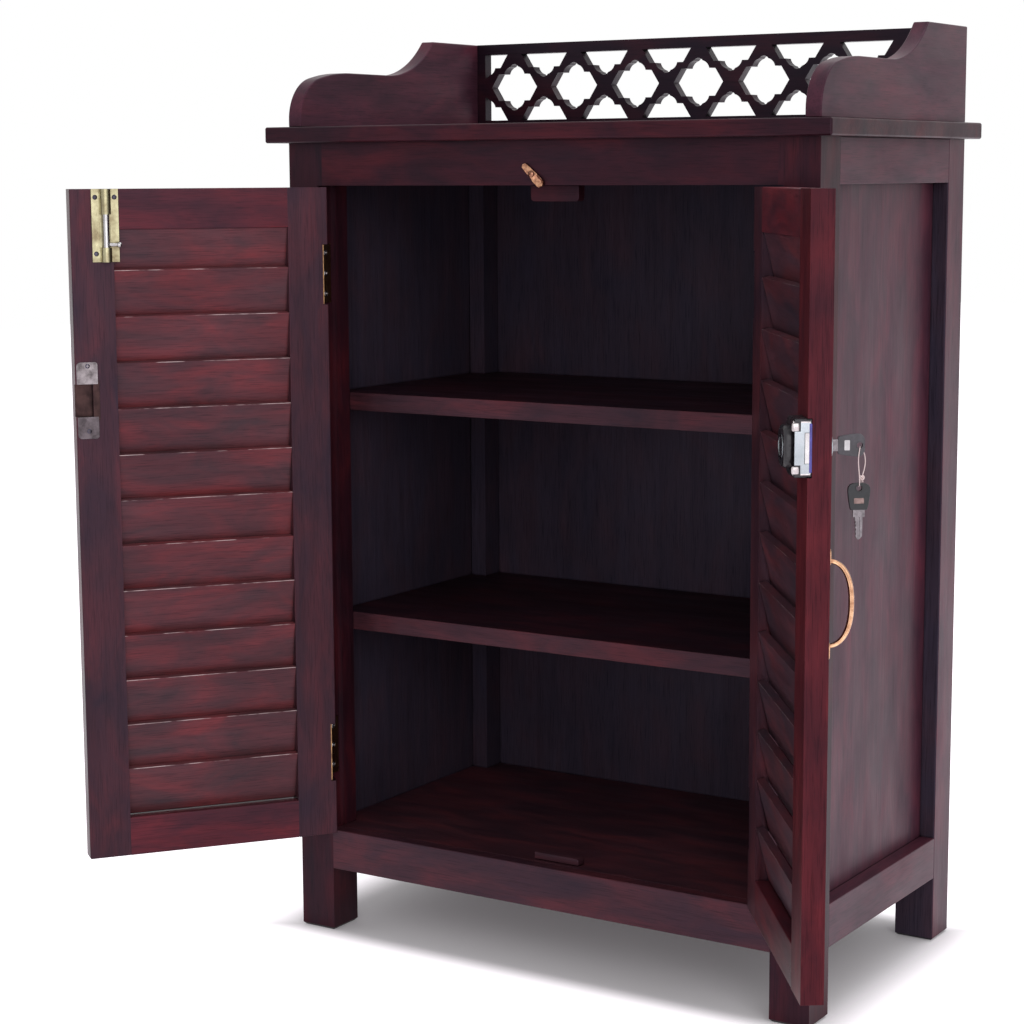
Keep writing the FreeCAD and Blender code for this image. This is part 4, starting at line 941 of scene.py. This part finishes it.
def make_knot():
    """Overhand lump where the thread's two ends meet, with two short tails."""
    lump = []
    for k in range(KNOT_STEPS + 1):
        t = 2 * math.pi * k / KNOT_STEPS
        reach = 1.15 + 0.5 * math.cos(3 * t)
        lump.append((reach * math.cos(2 * t), reach * math.sin(2 * t), 1.5 * math.sin(3 * t)))
    bm = bmesh.new()
    for route in (lump, *KNOT_TAILS):
        path = [Vector(point) for point in route]
        stations = []
        first = None
        for k, point in enumerate(path):
            ahead = (path[min(k + 1, len(path) - 1)] - path[max(k - 1, 0)]).normalized()
            first = first or ahead.orthogonal()
            first = (first - ahead * first.dot(ahead)).normalized()
            stations.append((point, first * KNOT_RADIUS, ahead.cross(first) * KNOT_RADIUS))
        add_tube(bm, stations, circle(10))
    bm.transform(Matrix.Translation(FIRST_EYE + Vector(THREAD_ROUTE[0])) @ Matrix.Scale(KNOT_SCALE, 4))
    return fitting("key_thread_knot", bm, "right", "key_thread", THREAD)


def make_thread():
    curve = bpy.data.curves.new("key_thread_loop", "CURVE")
    curve.dimensions = "3D"
    curve.bevel_depth = THREAD_RADIUS * MM
    curve.bevel_resolution = 4
    curve.use_fill_caps = True
    curve.resolution_u = 12
    spline = curve.splines.new("NURBS")
    spline.points.add(len(THREAD_ROUTE) - 1)
    for point, place in zip(spline.points, THREAD_ROUTE):
        point.co = (*(DOOR["right"] @ ((FIRST_EYE + Vector(place)) * MM)), 1)
    spline.order_u = 3
    spline.use_endpoint_u = True
    thread = new_object("key_thread_loop", curve, Matrix.Identity(4), BODY_OF["key_thread"], THREAD)
    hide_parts("key_thread")
    make_knot()


make_thread()


# Turn button

BUTTON_PLACE, BUTTON_TILT = (-4.2, -180.0, 842.0), math.radians(42)
# Places along the button from its screw
TONGUE_END, ARM_START, DISH_START, ARM_ROUND, HOOK_START, ARM_END = -14.0, -1.0, 4.5, 13.6, 14.0, 18.1
BUTTON_TOP, BUTTON_BACK, DISH_DEPTH, HOOK_RISE, EDGE_DROP = 2.9, 0.9, 0.9, 0.8, 0.45
BUTTON_STATIONS, BUTTON_SPANS = 46, 16


def button_half_width(u):
    """Half the button's width: a narrow tongue, a wider arm, and round ends."""
    if u < ARM_START:
        width = 3.0 + 0.9 * min(1, (u - TONGUE_END) / 9)
        end = min(1, ((u - TONGUE_END) / 1.2) ** 0.5)
    else:
        width = 3.9 + 0.6 * min(1, (u - ARM_START) / 6)
        end = max(0, 1 - (max(0, u - ARM_ROUND) / 4.5) ** 2) ** 0.5
    return max(width * end, 0.25)


def make_turn_button():
    """Pressed brass button: a plain tongue, a seat for the screw and a dished arm with raised rims."""
    lean, rise = math.cos(BUTTON_TILT), math.sin(BUTTON_TILT)
    x, y, z = BUTTON_PLACE
    place = Matrix(((lean, rise, 0, x), (0, 0, -1, y), (-rise, lean, 0, z), (0, 0, 0, 1)))
    across = [-1 + 2 * j / BUTTON_SPANS for j in range(BUTTON_SPANS + 1)]
    bm = bmesh.new()
    rings = []
    for i in range(BUTTON_STATIONS + 1):
        u = TONGUE_END + (ARM_END - TONGUE_END) * i / BUTTON_STATIONS
        width = button_half_width(u)
        dish = DISH_DEPTH * max(0.0, min(1.0, (u - DISH_START) / 1.5))
        level = BUTTON_TOP + HOOK_RISE * max(0.0, (u - HOOK_START) / 4.0)
        top = [(v * width, level + dish * (abs(v) ** 3 - 1 + v * v) - EDGE_DROP * abs(v) ** 10)
               for v in across]
        back = [(v * width, BUTTON_BACK) for v in reversed(across)]
        rings.append([bm.verts.new(place @ Vector((u, *point))) for point in top + back])
    bridge(bm, rings)
    bm.faces.new(rings[0])
    bm.faces.new(rings[-1])
    bore = bmesh.new()
    add_lathe(bore, ((0, -2), (2.0, -2), (2.0, 6), (0, 6)), place, 24)
    carve(bm, bore)
    fitting("turn_button_pressed", bm, "", "turn_button", BUTTON_BRASS, "turn_button")
    screw = screw_shape(3.3, 1.3, 4.0)
    screw.transform(place @ Matrix.Translation((0, 0, 4.0)))
    fitting("turn_button_screw_head", screw, "", "turn_button_screw", BUTTON_SCREW, "turn_button_screw")


make_turn_button()


# Stage, camera and light

FLOOR_CORNERS = [(-8, -8, 0), (8, -8, 0), (8, 12, 0), (-8, 12, 0)]
FLOOR_COLOUR, LIFT_COLOUR, SURROUND_COLOUR = (0.80, 0.785, 0.80, 1), (1.0, 0.95, 1.0, 1), (1.0, 1.0, 1.0, 1)
# Half the case's width and depth, and the multiples of them between which the floor's lift rises
FOOTPRINT, LIFT_WITHIN, LIFT_RANGE = (0.315, 0.18), (0.95, 1.22), (0.06, 0.95)
# Strength of the surround as a light and as it is seen
SURROUND_RANGE = (0.62, 1.0)
# Camera fitted to the photograph: yaw, pitch and roll in degrees; lens and sensor in millimetres
CAMERA_ANGLES, CAMERA_PLACE = (32.549, -8.319, -0.303), (1.2552, -2.1952, 0.8435)
CAMERA_LENS, CAMERA_SENSOR = 81.63, 36.0
# Lamps: name, place, target, width, height, power, colour
LAMPS = [
    ("key_right", (2.2, -2.9, 1.5), (0, 0, 0.35), 3.4, 2.6, 52, (1.0, 0.98, 1.0)),
    ("top_back", (0.8, 0.6, 3.0), (0, 0, 0.6), 2.0, 1.6, 22, (1.0, 0.97, 1.0)),
]


def seen_directly(tree):
    """One for camera, glossy and transmission rays, nought for the rest."""
    rays = tree.nodes.new("ShaderNodeLightPath").outputs
    value = combined(tree, "MAXIMUM", rays["Is Camera Ray"], rays["Is Glossy Ray"])
    return combined(tree, "MAXIMUM", value, rays["Is Transmission Ray"])


def make_floor():
    """Pale floor that runs out of view; what is seen of it is lifted to white, except near the case."""
    mesh = bpy.data.meshes.new("studio_floor")
    mesh.from_pydata(FLOOR_CORNERS, [], [(0, 1, 2, 3)])
    floor = bpy.data.objects.new("studio_floor", mesh)
    scene.collection.objects.link(floor)
    material, tree, shader = node_tree("studio_floor")
    tree.nodes.remove(shader)
    diffuse = tree.nodes.new("ShaderNodeBsdfDiffuse")
    diffuse.inputs["Color"].default_value = FLOOR_COLOUR
    lift = tree.nodes.new("ShaderNodeEmission")
    lift.inputs["Color"].default_value = LIFT_COLOUR
    place = tree.nodes.new("ShaderNodeTexCoord").outputs["Object"]
    reach = tree.nodes.new("ShaderNodeVectorMath")
    reach.operation = "ABSOLUTE"
    tree.links.new(mapped(tree, place, (1 / FOOTPRINT[0], 1 / FOOTPRINT[1], 1)), reach.inputs[0])
    sides = tree.nodes.new("ShaderNodeSeparateXYZ")
    link(tree, reach, "Vector", sides, 0)
    widest = combined(tree, "MAXIMUM", sides.outputs["X"], sides.outputs["Y"])
    rising = spread(tree, widest, *LIFT_RANGE, LIFT_WITHIN, "SMOOTHSTEP")
    strength = combined(tree, "MULTIPLY", seen_directly(tree), rising)
    tree.links.new(strength, lift.inputs["Strength"])
    add = tree.nodes.new("ShaderNodeAddShader")
    link(tree, diffuse, "BSDF", add, 0)
    link(tree, lift, "Emission", add, 1)
    link(tree, add, "Shader", tree.nodes["Material Output"], "Surface")
    floor.data.materials.append(material)


def make_surround():
    """White surround, weaker as a light than as it is seen."""
    world = bpy.data.worlds.new("studio")
    scene.world = world
    world.use_nodes = True
    tree = world.node_tree
    background = tree.nodes["Background"]
    background.inputs["Color"].default_value = SURROUND_COLOUR
    level = spread(tree, seen_directly(tree), *SURROUND_RANGE, (0, 1))
    tree.links.new(level, background.inputs["Strength"])


def area_light(name, location, target, width, height, power, colour):
    data = bpy.data.lights.new(name, "AREA")
    data.shape = "RECTANGLE"
    data.size, data.size_y = width, height
    data.energy = power
    data.color = colour
    lamp = bpy.data.objects.new(name, data)
    scene.collection.objects.link(lamp)
    lamp.location = location
    aim = Vector(target) - Vector(location)
    lamp.rotation_mode = "QUATERNION"
    lamp.rotation_quaternion = aim.to_track_quat("-Z", "Y")
    lamp.visible_camera = False


def make_camera():
    yaw, pitch, roll = (math.radians(angle) for angle in CAMERA_ANGLES)
    forward = Vector((-math.sin(yaw) * math.cos(pitch), math.cos(yaw) * math.cos(pitch), math.sin(pitch)))
    right = Vector((math.cos(yaw), math.sin(yaw), 0))
    up = right.cross(forward)
    right, up = (right * math.cos(roll) + up * math.sin(roll), up * math.cos(roll) - right * math.sin(roll))
    data = bpy.data.cameras.new("photo_camera")
    data.sensor_width = CAMERA_SENSOR
    data.lens = CAMERA_LENS
    data.clip_end = 100.0
    camera = bpy.data.objects.new("photo_camera", data)
    scene.collection.objects.link(camera)
    rotation = Matrix((right, up, -forward)).transposed().to_4x4()
    camera.matrix_world = Matrix.Translation(CAMERA_PLACE) @ rotation
    scene.camera = camera


make_floor()
make_surround()
make_camera()
for lamp in LAMPS:
    area_light(*lamp)

bpy.context.view_layer.update()
